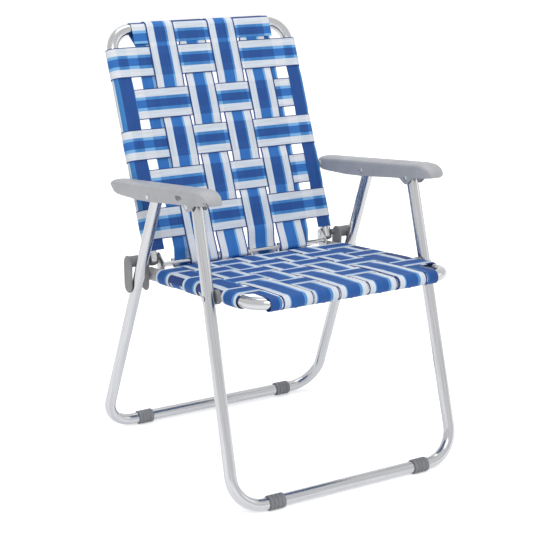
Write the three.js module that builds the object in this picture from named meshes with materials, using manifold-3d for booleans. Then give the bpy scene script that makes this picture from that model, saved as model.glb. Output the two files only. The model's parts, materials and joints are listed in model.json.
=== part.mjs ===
// Folding lawn chair: aluminium tube frames, grey mouldings and woven flat webbing.
// Units are millimetres. X runs across the chair, Y to its back, Z up.
import * as THREE from 'three';
import { mergeVertices } from 'three/addons/utils/BufferGeometryUtils.js';
import Module from 'manifold-3d';

const wasm = await Module();
wasm.setup();

// Driving dimensions of the tube frames
const tubeDiameter = 22;
const tubeWall = 1.2;
const legBend = 60;
const frameBend = 45;
const seatHalfWidth = 203.5;
const backHalfWidth = 199.5;

// Driving dimensions of the side view, with heights above the floor
const frontPivot = { y: -149.5, z: 533.8 };
const frontFoot = { y: -290, splay: 9.5 };
const rearPivot = { y: -4, z: 524.8 };
const rearFoot = { y: 212.1, splay: 19 };
const seatPivot = { y: -192, z: 376.3 };
const seatSlope = 5.04;
const seatReach = 120;
const hingeReach = 279.1;
const backLean = 21.7;
const backHeight = 478.8;

// Fits and fineness
const clearance = 0.3;
const jointClearance = 1.3;
const overrun = 5;
const outerSides = 20;
const innerSides = 10;
const pinSides = 12;
const bendSteps = 6;
const halfShare = 0.5;

const tubeRadius = tubeDiameter * halfShare;

// Colours and finishes
const finish = (color, roughness, metalness) => new THREE.MeshStandardMaterial({ color, roughness, metalness });
const aluminium = finish('#c9cacb', 0.35, 1);
const rivetSteel = finish('#b9babd', 0.3, 1);
const greyPlastic = finish('#afb0b4', 0.5, 0);
const darkPlastic = finish('#8f8f8f', 0.6, 0);
const footPlastic = finish('#6e7074', 0.7, 0);
const webbingBlue = finish('#3e78c4', 0.8, 0);

const sides = [
  { name: 'left', sign: -1 },
  { name: 'right', sign: 1 },
];

// General shapes

const radians = (degrees) => THREE.MathUtils.degToRad(degrees);

function circle(radius, count) {
  const points = [];
  for (let i = 0; i < count; i += 1) {
    const angle = (2 * Math.PI * i) / count;
    points.push(new THREE.Vector2(radius * Math.cos(angle), radius * Math.sin(angle)));
  }
  return points;
}

// A curve that holds its own stations, so that bends get fine steps and straights only one
class StationCurve extends THREE.Curve {
  constructor(stations) {
    super();
    this.stations = stations;
  }

  at(share) {
    return this.stations[Math.round(share * (this.stations.length - 1))];
  }

  getPoint(share, target = new THREE.Vector3()) {
    return target.copy(this.at(share).point);
  }

  getPointAt(share, target = new THREE.Vector3()) {
    return target.copy(this.at(share).point);
  }

  getTangentAt(share, target = new THREE.Vector3()) {
    return target.copy(this.at(share).tangent);
  }
}

function bendStations(corners, bendRadius) {
  const heading = (i) => corners[i + 1].clone().sub(corners[i]).normalize();
  const stations = [{ point: corners[0], tangent: heading(0) }];
  for (let i = 1; i < corners.length - 1; i += 1) {
    const before = heading(i - 1);
    const after = heading(i);
    const turn = before.angleTo(after);
    const cut = bendRadius * Math.tan(turn * halfShare);
    const start = corners[i].clone().addScaledVector(before, -cut);
    const inward = after.clone().addScaledVector(before, -after.dot(before)).normalize();
    const centre = start.clone().addScaledVector(inward, bendRadius);
    for (let step = 0; step <= bendSteps; step += 1) {
      const angle = (turn * step) / bendSteps;
      const point = centre.clone().addScaledVector(inward, -bendRadius * Math.cos(angle));
      point.addScaledVector(before, bendRadius * Math.sin(angle));
      const tangent = before.clone().multiplyScalar(Math.cos(angle)).addScaledVector(inward, Math.sin(angle));
      stations.push({ point, tangent });
    }
  }
  stations.push({ point: corners[corners.length - 1], tangent: heading(corners.length - 2) });
  return stations;
}

function bentTube(corners, bendRadius) {
  const stations = bendStations(corners, bendRadius);
  const section = new THREE.Shape(circle(tubeRadius, outerSides));
  section.holes.push(new THREE.Path(circle(tubeRadius - tubeWall, innerSides)));
  const extrudePath = new StationCurve(stations);
  return new THREE.ExtrudeGeometry(section, { steps: stations.length - 1, extrudePath, bevelEnabled: false });
}

// A revolved piece whose profile lists [radius, distance along X], from its -X end
function turned(profile, count, start = 0) {
  const points = profile.map(([radius, along]) => new THREE.Vector2(radius, along));
  return new THREE.LatheGeometry(points, count, start, 2 * Math.PI).rotateZ(-Math.PI * halfShare);
}

function pin(radius, from, to, y, z) {
  const profile = [
    [0, from],
    [radius, from],
    [radius, to],
    [0, to],
  ];
  return turned(profile, pinSides).translate(0, y, z);
}

// Outline round a chain of circles given as { y, z, radius }, running anticlockwise
function hullOutline(circles, arcSteps) {
  const points = [];
  const count = circles.length;
  const normalAngle = (from, to) => {
    const distance = Math.hypot(to.y - from.y, to.z - from.z);
    return Math.atan2(to.z - from.z, to.y - from.y) - Math.acos((from.radius - to.radius) / distance);
  };
  for (let i = 0; i < count; i += 1) {
    const here = circles[i];
    const arrive = normalAngle(circles[(i + count - 1) % count], here);
    let leave = normalAngle(here, circles[(i + 1) % count]);
    while (leave < arrive) leave += 2 * Math.PI;
    for (let step = 0; step <= arcSteps; step += 1) {
      const angle = arrive + ((leave - arrive) * step) / arcSteps;
      points.push(new THREE.Vector2(here.y + here.radius * Math.cos(angle), here.z + here.radius * Math.sin(angle)));
    }
  }
  return points;
}

// A plate whose outline lies in the Y-Z plane, from one X to the other
function sidePlate(outline, from, to, edge = 0) {
  const shape = new THREE.Shape(outline);
  const settings = { depth: to - from - 2 * edge, bevelEnabled: edge > 0, bevelSegments: 1 };
  settings.bevelThickness = edge;
  settings.bevelSize = edge;
  settings.bevelOffset = -edge;
  const geometry = new THREE.ExtrudeGeometry(shape, settings).translate(0, 0, from + edge);
  const axes = new THREE.Matrix4().makeBasis(
    new THREE.Vector3(0, 1, 0),
    new THREE.Vector3(0, 0, 1),
    new THREE.Vector3(1, 0, 0),
  );
  return geometry.applyMatrix4(axes);
}

// Solids for joining and cutting

function positionsOnly(geometry) {
  const copy = geometry.clone();
  copy.deleteAttribute('normal');
  copy.deleteAttribute('uv');
  return mergeVertices(copy);
}

function signedVolume(geometry) {
  const position = geometry.getAttribute('position');
  const index = geometry.getIndex();
  const corner = [new THREE.Vector3(), new THREE.Vector3(), new THREE.Vector3()];
  let sum = 0;
  for (let i = 0; i < index.count; i += 3) {
    corner.forEach((vector, k) => vector.fromBufferAttribute(position, index.getX(i + k)));
    sum += corner[0].dot(corner[1].cross(corner[2]));
  }
  return sum;
}

function toSolid(geometry) {
  const merged = positionsOnly(geometry);
  const triVerts = Uint32Array.from(merged.getIndex().array);
  if (signedVolume(merged) < 0) {
    for (let i = 0; i < triVerts.length; i += 3) {
      [triVerts[i], triVerts[i + 1]] = [triVerts[i + 1], triVerts[i]];
    }
  }
  const vertProperties = Float32Array.from(merged.getAttribute('position').array);
  return new wasm.Manifold(new wasm.Mesh({ numProp: 3, vertProperties, triVerts }));
}

function toGeometry(solid) {
  const mesh = solid.getMesh();
  const geometry = new THREE.BufferGeometry();
  geometry.setAttribute('position', new THREE.BufferAttribute(Float32Array.from(mesh.vertProperties), 3));
  geometry.setIndex(Array.from(mesh.triVerts));
  return geometry;
}

function shaped(body, joined, cuts) {
  let solid = toSolid(body);
  joined.forEach((piece) => {
    solid = solid.add(toSolid(piece));
  });
  cuts.forEach((piece) => {
    solid = solid.subtract(toSolid(piece));
  });
  return toGeometry(solid);
}

function mirrored(geometry, sign) {
  return sign > 0 ? geometry : toGeometry(toSolid(geometry.clone().scale(sign, 1, 1)));
}

function named(name, geometry, material) {
  const mesh = new THREE.Mesh(geometry, material);
  mesh.name = name;
  return mesh;
}

// Webbing: levels are the heights of a strap's middle above the plane of the tube axes
const strapThickness = 1;
const strapGap = 0.3;
const strapStep = strapThickness + strapGap;
const levelLow = tubeRadius + strapGap + strapThickness * halfShare;
const levelMiddle = levelLow + strapStep;
const levelHigh = levelMiddle + strapStep;
const levelDeep = levelLow - strapStep;
const tailLength = 25;
const wrapAngle = 18;
const rampInset = 0.5;
const edgeWrap = 50;

// Places from the middle of the chair outwards, shared by the pieces that stack there
const armInner = backHalfWidth + levelHigh + 2.1;
const armWall = 2.5;
const legGap = 2.9;
const legPivotHalfWidth = armInner + armWall + legGap + tubeRadius;
const rearPivotShift = 2.1;
const rearPivotHalfWidth = legPivotHalfWidth + rearPivotShift;

// Leg frames: two U-shaped tubes, splayed towards the floor, each on two ribbed sleeves

const sleeveRadius = 14;
const sleeveSides = 16;
const sleeveLength = 32;
const sleeveRibs = 4;
const grooveDepth = 1.6;
const grooveWidth = 3;
const footTubeHeight = sleeveRadius * Math.cos(Math.PI / sleeveSides);

const frontLeg = { pivot: frontPivot, halfWidth: legPivotHalfWidth, foot: frontFoot, topLength: 12, sleeveInset: 83.3 };
const rearLeg = { pivot: rearPivot, halfWidth: rearPivotHalfWidth, foot: rearFoot, topLength: 10, sleeveInset: 88.4 };

const bore = (radius, count) => (radius + clearance) / Math.cos(Math.PI / count);
const legShareAt = (leg, z) => (leg.pivot.z - z) / (leg.pivot.z - footTubeHeight);
const legYAt = (leg, z) => leg.pivot.y + (leg.foot.y - leg.pivot.y) * legShareAt(leg, z);
const legHalfWidthAt = (leg, z) => leg.halfWidth + leg.foot.splay * legShareAt(leg, z);

function legCorners(leg) {
  const foot = new THREE.Vector3(leg.halfWidth + leg.foot.splay, leg.foot.y, footTubeHeight);
  const pivot = new THREE.Vector3(leg.halfWidth, leg.pivot.y, leg.pivot.z);
  const top = pivot.clone().sub(foot);
  top.setLength(top.length() + leg.topLength).add(foot);
  const flipped = (point) => new THREE.Vector3(-point.x, point.y, point.z);
  return [flipped(top), flipped(foot), foot, top];
}

function legFrame(leg, holes) {
  const cuts = [];
  holes.forEach(({ y, z, radius }) => {
    const reach = legHalfWidthAt(leg, z);
    sides.forEach(({ sign }) => {
      cuts.push(pin(bore(radius, pinSides), -tubeDiameter, tubeDiameter, y, z).translate(sign * reach, 0, 0));
    });
  });
  return shaped(bentTube(legCorners(leg), legBend), [], cuts);
}

function footSleeve() {
  const pitch = (sleeveLength + grooveWidth) / sleeveRibs;
  const profile = [[bore(tubeRadius, sleeveSides), -sleeveLength * halfShare]];
  for (let rib = 0; rib < sleeveRibs; rib += 1) {
    const start = rib * pitch - sleeveLength * halfShare;
    profile.push([sleeveRadius, start], [sleeveRadius, start + pitch - grooveWidth]);
    if (rib < sleeveRibs - 1) profile.push([sleeveRadius - grooveDepth, start + pitch - grooveWidth * halfShare]);
  }
  profile.push([bore(tubeRadius, sleeveSides), sleeveLength * halfShare], profile[0]);
  return turned(profile, sleeveSides, Math.PI / sleeveSides);
}

// Side view of the moving frames

const rivetRadius = 2.5;
const rivetHeadRadius = 5;
const rivetHeadHeight = 1.6;
const headCrownShare = 0.6;

const seatPivotPlace = { y: legYAt(frontLeg, seatPivot.z), z: seatPivot.z };
const slope = radians(seatSlope);
const lean = radians(backLean);
const hinge = {
  y: seatPivotPlace.y + hingeReach * Math.cos(slope),
  z: seatPivotPlace.z - hingeReach * Math.sin(slope),
};

// Places on the back: y runs up the back from its hinge, z to the front of it
const railOffset = 3.75;
const backRivet = { y: 30.3, z: railOffset };
const armTail = { y: 174.4, z: railOffset + 4 };
const rod = { y: 13.3, z: 13.95, radius: 5 };
const railEnd = 21.5;

const fromBack = ({ y, z }) => ({
  y: hinge.y + y * Math.sin(lean) - z * Math.cos(lean),
  z: hinge.z + y * Math.cos(lean) + z * Math.sin(lean),
});
const toBack = (y, z) => ({
  y: (y - hinge.y) * Math.sin(lean) + (z - hinge.z) * Math.cos(lean),
  z: (z - hinge.z) * Math.sin(lean) - (y - hinge.y) * Math.cos(lean),
});

// A solid rivet along X; a head is left off where its end is flush
function rivet(from, to, heads) {
  const crown = rivetHeadRadius * headCrownShare;
  const start = [
    [0, from - rivetHeadHeight],
    [crown, from - rivetHeadHeight],
    [rivetHeadRadius, from],
    [rivetRadius, from],
  ];
  const end = [
    [rivetRadius, to],
    [rivetHeadRadius, to],
    [crown, to + rivetHeadHeight],
    [0, to + rivetHeadHeight],
  ];
  const flush = [
    [rivetRadius, to],
    [0, to],
  ];
  return turned([...start, ...(heads > 1 ? end : flush)], pinSides);
}

// Seat: a U-shaped tube, open to the rear, with a round-ended grey cap on each rail

const seatRailOverhang = 7;
const seatCapRadius = 12.5;
const seatCapEnd = 13;
const seatCapCorner = 6;
const seatCapFront = 243;
const capSteps = 3;

function seatFrame() {
  const rear = hingeReach + seatRailOverhang;
  const corners = [
    new THREE.Vector3(-seatHalfWidth, rear, 0),
    new THREE.Vector3(-seatHalfWidth, -seatReach, 0),
    new THREE.Vector3(seatHalfWidth, -seatReach, 0),
    new THREE.Vector3(seatHalfWidth, rear, 0),
  ];
  const hole = bore(rivetRadius, pinSides);
  const cuts = [];
  sides.forEach(({ sign }) => {
    cuts.push(pin(hole, -tubeDiameter, tubeDiameter, 0, 0).translate(sign * seatHalfWidth, 0, 0));
    cuts.push(pin(hole, -tubeDiameter, tubeDiameter, hingeReach, 0).translate(sign * seatHalfWidth, 0, 0));
  });
  return shaped(bentTube(corners, frameBend), [], cuts);
}

function seatCap(sign) {
  const inner = bore(tubeRadius, outerSides);
  const floor = hingeReach + seatRailOverhang + clearance;
  const end = hingeReach + seatCapEnd;
  const profile = [new THREE.Vector2(inner, seatCapFront)];
  profile.push(new THREE.Vector2(seatCapRadius, seatCapFront));
  for (let step = 0; step <= capSteps; step += 1) {
    const angle = (Math.PI * halfShare * step) / capSteps;
    const radius = seatCapRadius - seatCapCorner * (1 - Math.cos(angle));
    profile.push(new THREE.Vector2(radius, end - seatCapCorner * (1 - Math.sin(angle))));
  }
  profile.push(new THREE.Vector2(0, end));
  profile.push(new THREE.Vector2(0, floor));
  profile.push(new THREE.Vector2(inner, floor));
  profile.push(profile[0].clone());
  const body = new THREE.LatheGeometry(profile, outerSides).translate(sign * seatHalfWidth, 0, 0);
  const hole = pin(bore(rivetRadius, pinSides), -tubeDiameter, tubeDiameter, hingeReach, 0);
  return shaped(body, [], [hole.translate(sign * seatHalfWidth, 0, 0)]);
}

// Back: an inverted U-shaped tube with a plug in each lower end and a cross rod at its foot

const plugDome = 6;
const plugStem = 5;
const plugSteps = 3;

function backFrame() {
  const corners = [
    new THREE.Vector3(-backHalfWidth, railEnd, railOffset),
    new THREE.Vector3(-backHalfWidth, backHeight, railOffset),
    new THREE.Vector3(backHalfWidth, backHeight, railOffset),
    new THREE.Vector3(backHalfWidth, railEnd, railOffset),
  ];
  const cuts = [];
  sides.forEach(({ sign }) => {
    const rivetHole = pin(bore(rivetRadius, pinSides), -tubeDiameter, tubeDiameter, backRivet.y, backRivet.z);
    const tailHole = pin(bore(rivetRadius + jointClearance, pinSides), -tubeDiameter, tubeDiameter, armTail.y, armTail.z);
    cuts.push(rivetHole.translate(sign * backHalfWidth, 0, 0));
    cuts.push(tailHole.translate(sign * backHalfWidth, 0, 0));
  });
  return shaped(bentTube(corners, frameBend), [], cuts);
}

function backPlug(sign) {
  const stemRadius = (tubeRadius - tubeWall) * Math.cos(Math.PI / innerSides) - clearance;
  const face = railEnd - clearance;
  const profile = [];
  for (let step = 0; step <= plugSteps; step += 1) {
    const angle = (Math.PI * halfShare * step) / plugSteps;
    profile.push(new THREE.Vector2(tubeRadius * Math.sin(angle), face - plugDome * Math.cos(angle)));
  }
  profile.push(new THREE.Vector2(stemRadius, face));
  profile.push(new THREE.Vector2(stemRadius, railEnd + plugStem));
  profile.push(new THREE.Vector2(0, railEnd + plugStem));
  return new THREE.LatheGeometry(profile, outerSides).translate(sign * backHalfWidth, 0, railOffset);
}

// Hinge fittings: a bracket that straddles the rear leg, and a plate inside the rails

const bracketTop = { y: 24.5, z: 12.95, radius: 16 };
const bracketFoot = { y: -14.3, z: -3.05, radius: 15 };
const cheekThickness = 4;
const cheekEdge = 1.2;
const cheekGap = 2;
const outlineSteps = 7;
const bossRadius = 6;
const barrelHeight = 383.6;
const barrelRadius = 11;
const stopGap = 0.4;
const legSlack = 0.6;
const plateThickness = 3;
const plateGap = 1.5;
const plateMargin = 9.5;
const plateEdge = 0.8;

const midCheek = seatHalfWidth + seatCapRadius + cheekGap;
const legAtBracketFoot = fromBack(bracketFoot).z - bracketFoot.radius;
const outerCheek = legHalfWidthAt(rearLeg, legAtBracketFoot) + tubeRadius + legSlack;
const plateOuter = backHalfWidth - tubeRadius - plateGap;
const plateInner = plateOuter - plateThickness;
const bracketOutline = () => hullOutline([bracketFoot, bracketTop], outlineSteps);

function barrelPlace() {
  const legAngle = Math.atan2(rearLeg.foot.y - rearLeg.pivot.y, rearLeg.pivot.z - footTubeHeight);
  const behind = (tubeRadius + barrelRadius + stopGap) / Math.cos(legAngle);
  return toBack(legYAt(rearLeg, barrelHeight) + behind, barrelHeight);
}

function hingeBracket(sign) {
  const inside = sidePlate(bracketOutline(), midCheek, midCheek + cheekThickness, cheekEdge);
  const outside = sidePlate(bracketOutline(), outerCheek, outerCheek + cheekThickness, cheekEdge);
  const stop = barrelPlace();
  const half = cheekThickness * halfShare;
  const barrel = pin(barrelRadius, midCheek + half, outerCheek + half, stop.y, stop.z);
  const bossEnd = backHalfWidth + tubeRadius + clearance;
  const boss = pin(bossRadius, bossEnd, midCheek + half, backRivet.y, backRivet.z);
  const hole = bore(rivetRadius, pinSides);
  const cuts = [
    pin(hole, bossEnd - overrun, midCheek + cheekThickness + overrun, backRivet.y, backRivet.z),
    pin(hole, midCheek - overrun, midCheek + cheekThickness + overrun, 0, 0),
  ];
  return mirrored(shaped(inside, [outside, barrel, boss], cuts), sign);
}

function innerPlate(sign) {
  const outline = hullOutline(
    [
      { y: 0, z: 0, radius: plateMargin },
      { ...backRivet, radius: plateMargin },
      { ...rod, radius: plateMargin },
    ],
    outlineSteps,
  );
  const plate = sidePlate(outline, plateInner, plateOuter, plateEdge);
  const middle = plateInner + plateThickness * halfShare;
  const backBoss = pin(bossRadius, middle, backHalfWidth - tubeRadius - clearance, backRivet.y, backRivet.z);
  const seatBoss = pin(bossRadius, middle, seatHalfWidth - seatCapRadius - clearance, 0, 0);
  const hole = bore(rivetRadius, pinSides);
  const cuts = [
    pin(hole, plateInner - overrun, seatHalfWidth, backRivet.y, backRivet.z),
    pin(hole, plateInner - overrun, seatHalfWidth, 0, 0),
    pin(bore(rod.radius, pinSides), plateInner - overrun, plateOuter + overrun, rod.y, rod.z),
  ];
  return mirrored(shaped(plate, [backBoss, seatBoss], cuts), sign);
}

// Armrests: moulded channels, open below, with lobes and bosses round their rivets.
// Their own frame starts at the front pivot, with reach to the rear and rise upwards.

const armTopWidth = 42;
const armFootWidth = 36;
const armTailReach = 307.5;
const armNoseReach = 72.5;
const armTopRise = 28.6;
const armTopSlopeShare = 0.114;
const armCrown = 2.5;
const armCorner = 5;
const tailRound = { length: 24, narrow: 7, drop: 3 };
const noseRound = { length: 44, narrow: 9, drop: 21 };
const lobeRadius = 11.5;
const lobeSpread = 22;
const armBossRadius = 5.5;
const notchRadius = 3.5;
const tailAngles = [10, 35, 60, 90];
const noseAngles = [0, 25, 50, 70, 84];
const cornerShare = 0.3;
const crownShare = 0.75;
const quarterShare = 0.25;

// Lower edge of the skirts, from the tail to the nose
const armFoot = [
  { reach: armTailReach, rise: -26 },
  { reach: 276.5, rise: -28.9 },
  { reach: 200, rise: -25.2 },
  { reach: 143.5, rise: -19.5 },
  { reach: 43.5, rise: -5.5 },
  { reach: 1.5, rise: -0.5 },
  { reach: -armNoseReach, rise: 11.5 },
];

function armFootRise(reach) {
  const next = armFoot.findIndex((point, i) => i > 0 && reach >= point.reach);
  const low = armFoot[next < 0 ? armFoot.length - 1 : next];
  const high = armFoot[(next < 0 ? armFoot.length : next + 1) - 2];
  return low.rise + ((reach - low.reach) / (high.reach - low.reach)) * (high.rise - low.rise);
}

// Cross-sections of the armrest's outside, or of its hollow where wall is more than zero
function armStations(wall) {
  const stations = [];
  tailAngles.forEach((degrees) => {
    const angle = radians(degrees);
    const reach = armTailReach - tailRound.length + (tailRound.length - wall) * Math.cos(angle);
    const share = 1 - Math.sin(angle);
    stations.push({ reach, narrow: tailRound.narrow * share, drop: tailRound.drop * share });
  });
  armFoot.slice(1, -1).forEach(({ reach }) => {
    if (reach < armTailReach - tailRound.length) stations.push({ reach, narrow: 0, drop: 0 });
  });
  noseAngles.forEach((degrees) => {
    const angle = radians(degrees);
    const reach = noseRound.length - armNoseReach - (noseRound.length - wall) * Math.sin(angle);
    const share = 1 - Math.cos(angle);
    stations.push({ reach, narrow: noseRound.narrow * share, drop: noseRound.drop * share });
  });
  return stations;
}

function armRing({ reach, narrow, drop }, wall) {
  const inner = armInner + narrow + wall;
  const topOuter = armInner + armTopWidth - narrow - wall;
  const footOuter = armInner + armFootWidth - narrow - wall;
  const top = armTopRise - armTopSlopeShare * reach - drop - wall;
  const foot = armFootRise(reach) - (wall > 0 ? overrun : 0);
  const crown = wall > 0 ? 0 : armCrown;
  const middle = (inner + topOuter) * halfShare;
  const quarter = (topOuter - inner) * quarterShare;
  const outline = [
    [inner, foot],
    [footOuter, foot],
    [topOuter, top - armCorner],
    [topOuter - armCorner * cornerShare, top - armCorner * cornerShare],
    [topOuter - armCorner, top],
    [middle + quarter, top + crown * crownShare],
    [middle, top + crown],
    [middle - quarter, top + crown * crownShare],
    [inner + armCorner, top],
    [inner + armCorner * cornerShare, top - armCorner * cornerShare],
    [inner, top - armCorner],
  ];
  return outline.map(([x, z]) => new THREE.Vector3(x, reach, z));
}

function loft(rings) {
  const count = rings[0].length;
  const positions = rings.flat().flatMap((point) => [point.x, point.y, point.z]);
  const index = [];
  for (let r = 0; r < rings.length - 1; r += 1) {
    for (let i = 0; i < count; i += 1) {
      const here = r * count + i;
      const beside = r * count + ((i + 1) % count);
      index.push(here, beside, here + count, beside, beside + count, here + count);
    }
  }
  const last = (rings.length - 1) * count;
  for (let i = 1; i < count - 1; i += 1) {
    index.push(0, i + 1, i, last, last + i, last + i + 1);
  }
  const geometry = new THREE.BufferGeometry();
  geometry.setAttribute('position', new THREE.BufferAttribute(Float32Array.from(positions), 3));
  geometry.setIndex(index);
  return geometry;
}

const armRearPivot = { y: rearPivot.y - frontPivot.y, z: rearPivot.z - frontPivot.z };
const tailPlace = fromBack(armTail);
const armTailPivot = { y: tailPlace.y - frontPivot.y, z: tailPlace.z - frontPivot.z };
const armOuterAtFoot = armInner + armFootWidth;
const armPadRadius = 6.5;

// Outer face of the flat pad round a rivet, on the sloping outer skirt
function armPadFace({ y, z }) {
  const foot = armFootRise(y);
  const shoulder = armTopRise - armTopSlopeShare * y - armCorner;
  const share = (z + armPadRadius - foot) / (shoulder - foot);
  return armOuterAtFoot + (armTopWidth - armFootWidth) * share;
}

function armrest(sign) {
  const outside = loft(armStations(0).map((station) => armRing(station, 0)));
  const hollow = loft(armStations(armWall).map((station) => armRing(station, armWall)));
  const lobe = hullOutline(
    [
      { y: 0, z: 0, radius: lobeRadius },
      { y: lobeSpread, z: lobeRadius, radius: lobeRadius },
      { y: -lobeSpread, z: lobeRadius, radius: lobeRadius * halfShare },
    ],
    outlineSteps,
  );
  const outerSkirt = armOuterAtFoot - armWall;
  const half = armWall * halfShare;
  const boss = (from, to, place) => pin(armBossRadius, from, to, place.y, place.z);
  const legFree = tubeRadius + legSlack;
  const pad = (legPlace, place) => pin(armPadRadius, legPlace + legFree, armPadFace(place), place.y, place.z);
  const joined = [
    sidePlate(lobe, armInner, armInner + armWall),
    sidePlate(lobe, outerSkirt, armOuterAtFoot),
    boss(armInner + half, frontLeg.halfWidth - legFree, { y: 0, z: 0 }),
    pad(frontLeg.halfWidth, { y: 0, z: 0 }),
    boss(armInner + half, rearLeg.halfWidth - legFree, armRearPivot),
    pad(rearLeg.halfWidth, armRearPivot),
    boss(backHalfWidth + levelHigh - strapStep, armInner + half, armTailPivot),
  ];
  const hole = bore(rivetRadius, pinSides);
  const past = armInner + armTopWidth + overrun;
  const cuts = [
    pin(hole, backHalfWidth, past, 0, 0),
    pin(hole, backHalfWidth, past, armRearPivot.y, armRearPivot.z),
    pin(hole, backHalfWidth, armInner + armWall + overrun, armTailPivot.y, armTailPivot.z),
  ];
  return mirrored(shaped(toGeometry(toSolid(outside).subtract(toSolid(hollow))), joined, cuts), sign);
}

// Webbing. A strap is a ribbon of even thickness along a path of [distance, level] points.

function ribbonOutline(path) {
  const points = path.map(([along, level]) => new THREE.Vector2(along, level));
  const side = points.map((point, i) => {
    const before = points[Math.max(i, 1)].clone().sub(points[Math.max(i, 1) - 1]).normalize();
    const next = Math.min(i, points.length - 2);
    const after = points[next + 1].clone().sub(points[next]).normalize();
    const middle = before.clone().add(after).normalize();
    const reach = (strapThickness * halfShare) / middle.dot(before);
    return new THREE.Vector2(-middle.y, middle.x).multiplyScalar(reach);
  });
  const upper = points.map((point, i) => point.clone().add(side[i]));
  const lower = points.map((point, i) => point.clone().sub(side[i]));
  return [...lower, ...upper.reverse()];
}

function wrap(centre, level, radius, from, to) {
  const points = [];
  const steps = Math.ceil(Math.abs(to - from) / wrapAngle);
  for (let step = 0; step <= steps; step += 1) {
    const angle = radians(from + ((to - from) * step) / steps);
    points.push([centre + radius * Math.cos(angle), level + radius * Math.sin(angle)]);
  }
  return points;
}

// Straps that run along Y are cut from the side view, those that run along X from the front view
function columnStrap(path, from, to) {
  return sidePlate(ribbonOutline(path), from, to);
}

function rowStrap(path, from, to) {
  const shape = new THREE.Shape(ribbonOutline(path));
  const geometry = new THREE.ExtrudeGeometry(shape, { depth: to - from, bevelEnabled: false });
  const axes = new THREE.Matrix4().makeBasis(
    new THREE.Vector3(1, 0, 0),
    new THREE.Vector3(0, 0, 1),
    new THREE.Vector3(0, -1, 0),
  );
  return geometry.applyMatrix4(axes).translate(0, to, 0);
}

// A row goes round both rails and over or under each crossing strap in turn
function rowPath(railHalfWidth, crossings, overs) {
  const level = (i) => (overs[i] ? levelHigh : levelLow);
  const last = crossings.length - 1;
  const path = [[-railHalfWidth + tailLength, -level(0)]];
  path.push(...wrap(-railHalfWidth, 0, level(0), -90, -270));
  for (let i = 0; i < last; i += 1) {
    if (level(i) !== level(i + 1)) {
      path.push([crossings[i].to + rampInset, level(i)]);
      path.push([crossings[i + 1].from - rampInset, level(i + 1)]);
    }
  }
  path.push(...wrap(railHalfWidth, 0, level(last), 90, -90));
  path.push([railHalfWidth - tailLength, -level(last)]);
  return path;
}

function edgePath(railHalfWidth, flat, sign) {
  const arc = wrap(railHalfWidth, 0, levelMiddle, 90, 90 - edgeWrap);
  return [[railHalfWidth - flat, levelMiddle], ...arc].map(([x, level]) => [sign * x, level]);
}

const span = (middle, width) => ({ from: middle - width * halfShare, to: middle + width * halfShare });

// Back webbing: y runs up from the cross rod, level forwards from the plane of the rails

const backStrapWidth = 62;
const backRowWidth = 60;
const backEdgeFlat = 23;
const backEdgeFoot = 29;
const backEdgeTop = 417;
const topStrapFoot = 433;
const topStrapHalfWidth = 156;
const dive = 22;
const barLevel = backHeight - rod.y;
const rodLevel = rod.z - railOffset;
const rodWrap = rod.radius + strapGap + strapThickness * halfShare;
const rodApproach = 25;
const rodEntry = 7;
const rodTurn = 80;
const deepTop = 430;

const backColumns = [
  { name: 'back_strap_1', middle: -95.8, front: true, deep: false },
  { name: 'back_strap_2', middle: -28.9, front: true, deep: false },
  { name: 'back_strap_3', middle: 41.5, front: false, deep: false },
  { name: 'back_strap_4', middle: 108.5, front: true, deep: false },
  { name: 'back_under_strap_left', middle: -124, front: false, deep: true },
  { name: 'back_under_strap_right', middle: 121, front: false, deep: true },
];

const backRows = [
  { name: 'back_row_1', middle: 397, overs: [true, false, true, false, true, true] },
  { name: 'back_row_2', middle: 313, overs: [false, true, false, true, false, false] },
  { name: 'back_row_3', middle: 234, overs: [true, false, true, false, true, true] },
  { name: 'back_row_4', middle: 154, overs: [false, true, false, true, false, false] },
  { name: 'back_row_5', middle: 79, overs: [true, false, true, false, true, true] },
];

function backColumnPath({ front, deep }) {
  const level = deep ? levelDeep : levelMiddle;
  const side = front ? 1 : -1;
  const path = wrap(0, rodLevel, rodWrap, side * (90 + rodTurn), side * 90);
  path.push([rodEntry, rodLevel + side * rodWrap], [rodApproach, level]);
  if (deep) {
    path.push([deepTop, level], [deepTop + dive, -levelLow]);
    path.push(...wrap(barLevel, 0, levelLow, -90, 0));
  } else {
    path.push(...wrap(barLevel, 0, levelMiddle, 90, -90));
    path.push([barLevel - tailLength, -levelMiddle]);
  }
  return path;
}

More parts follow.
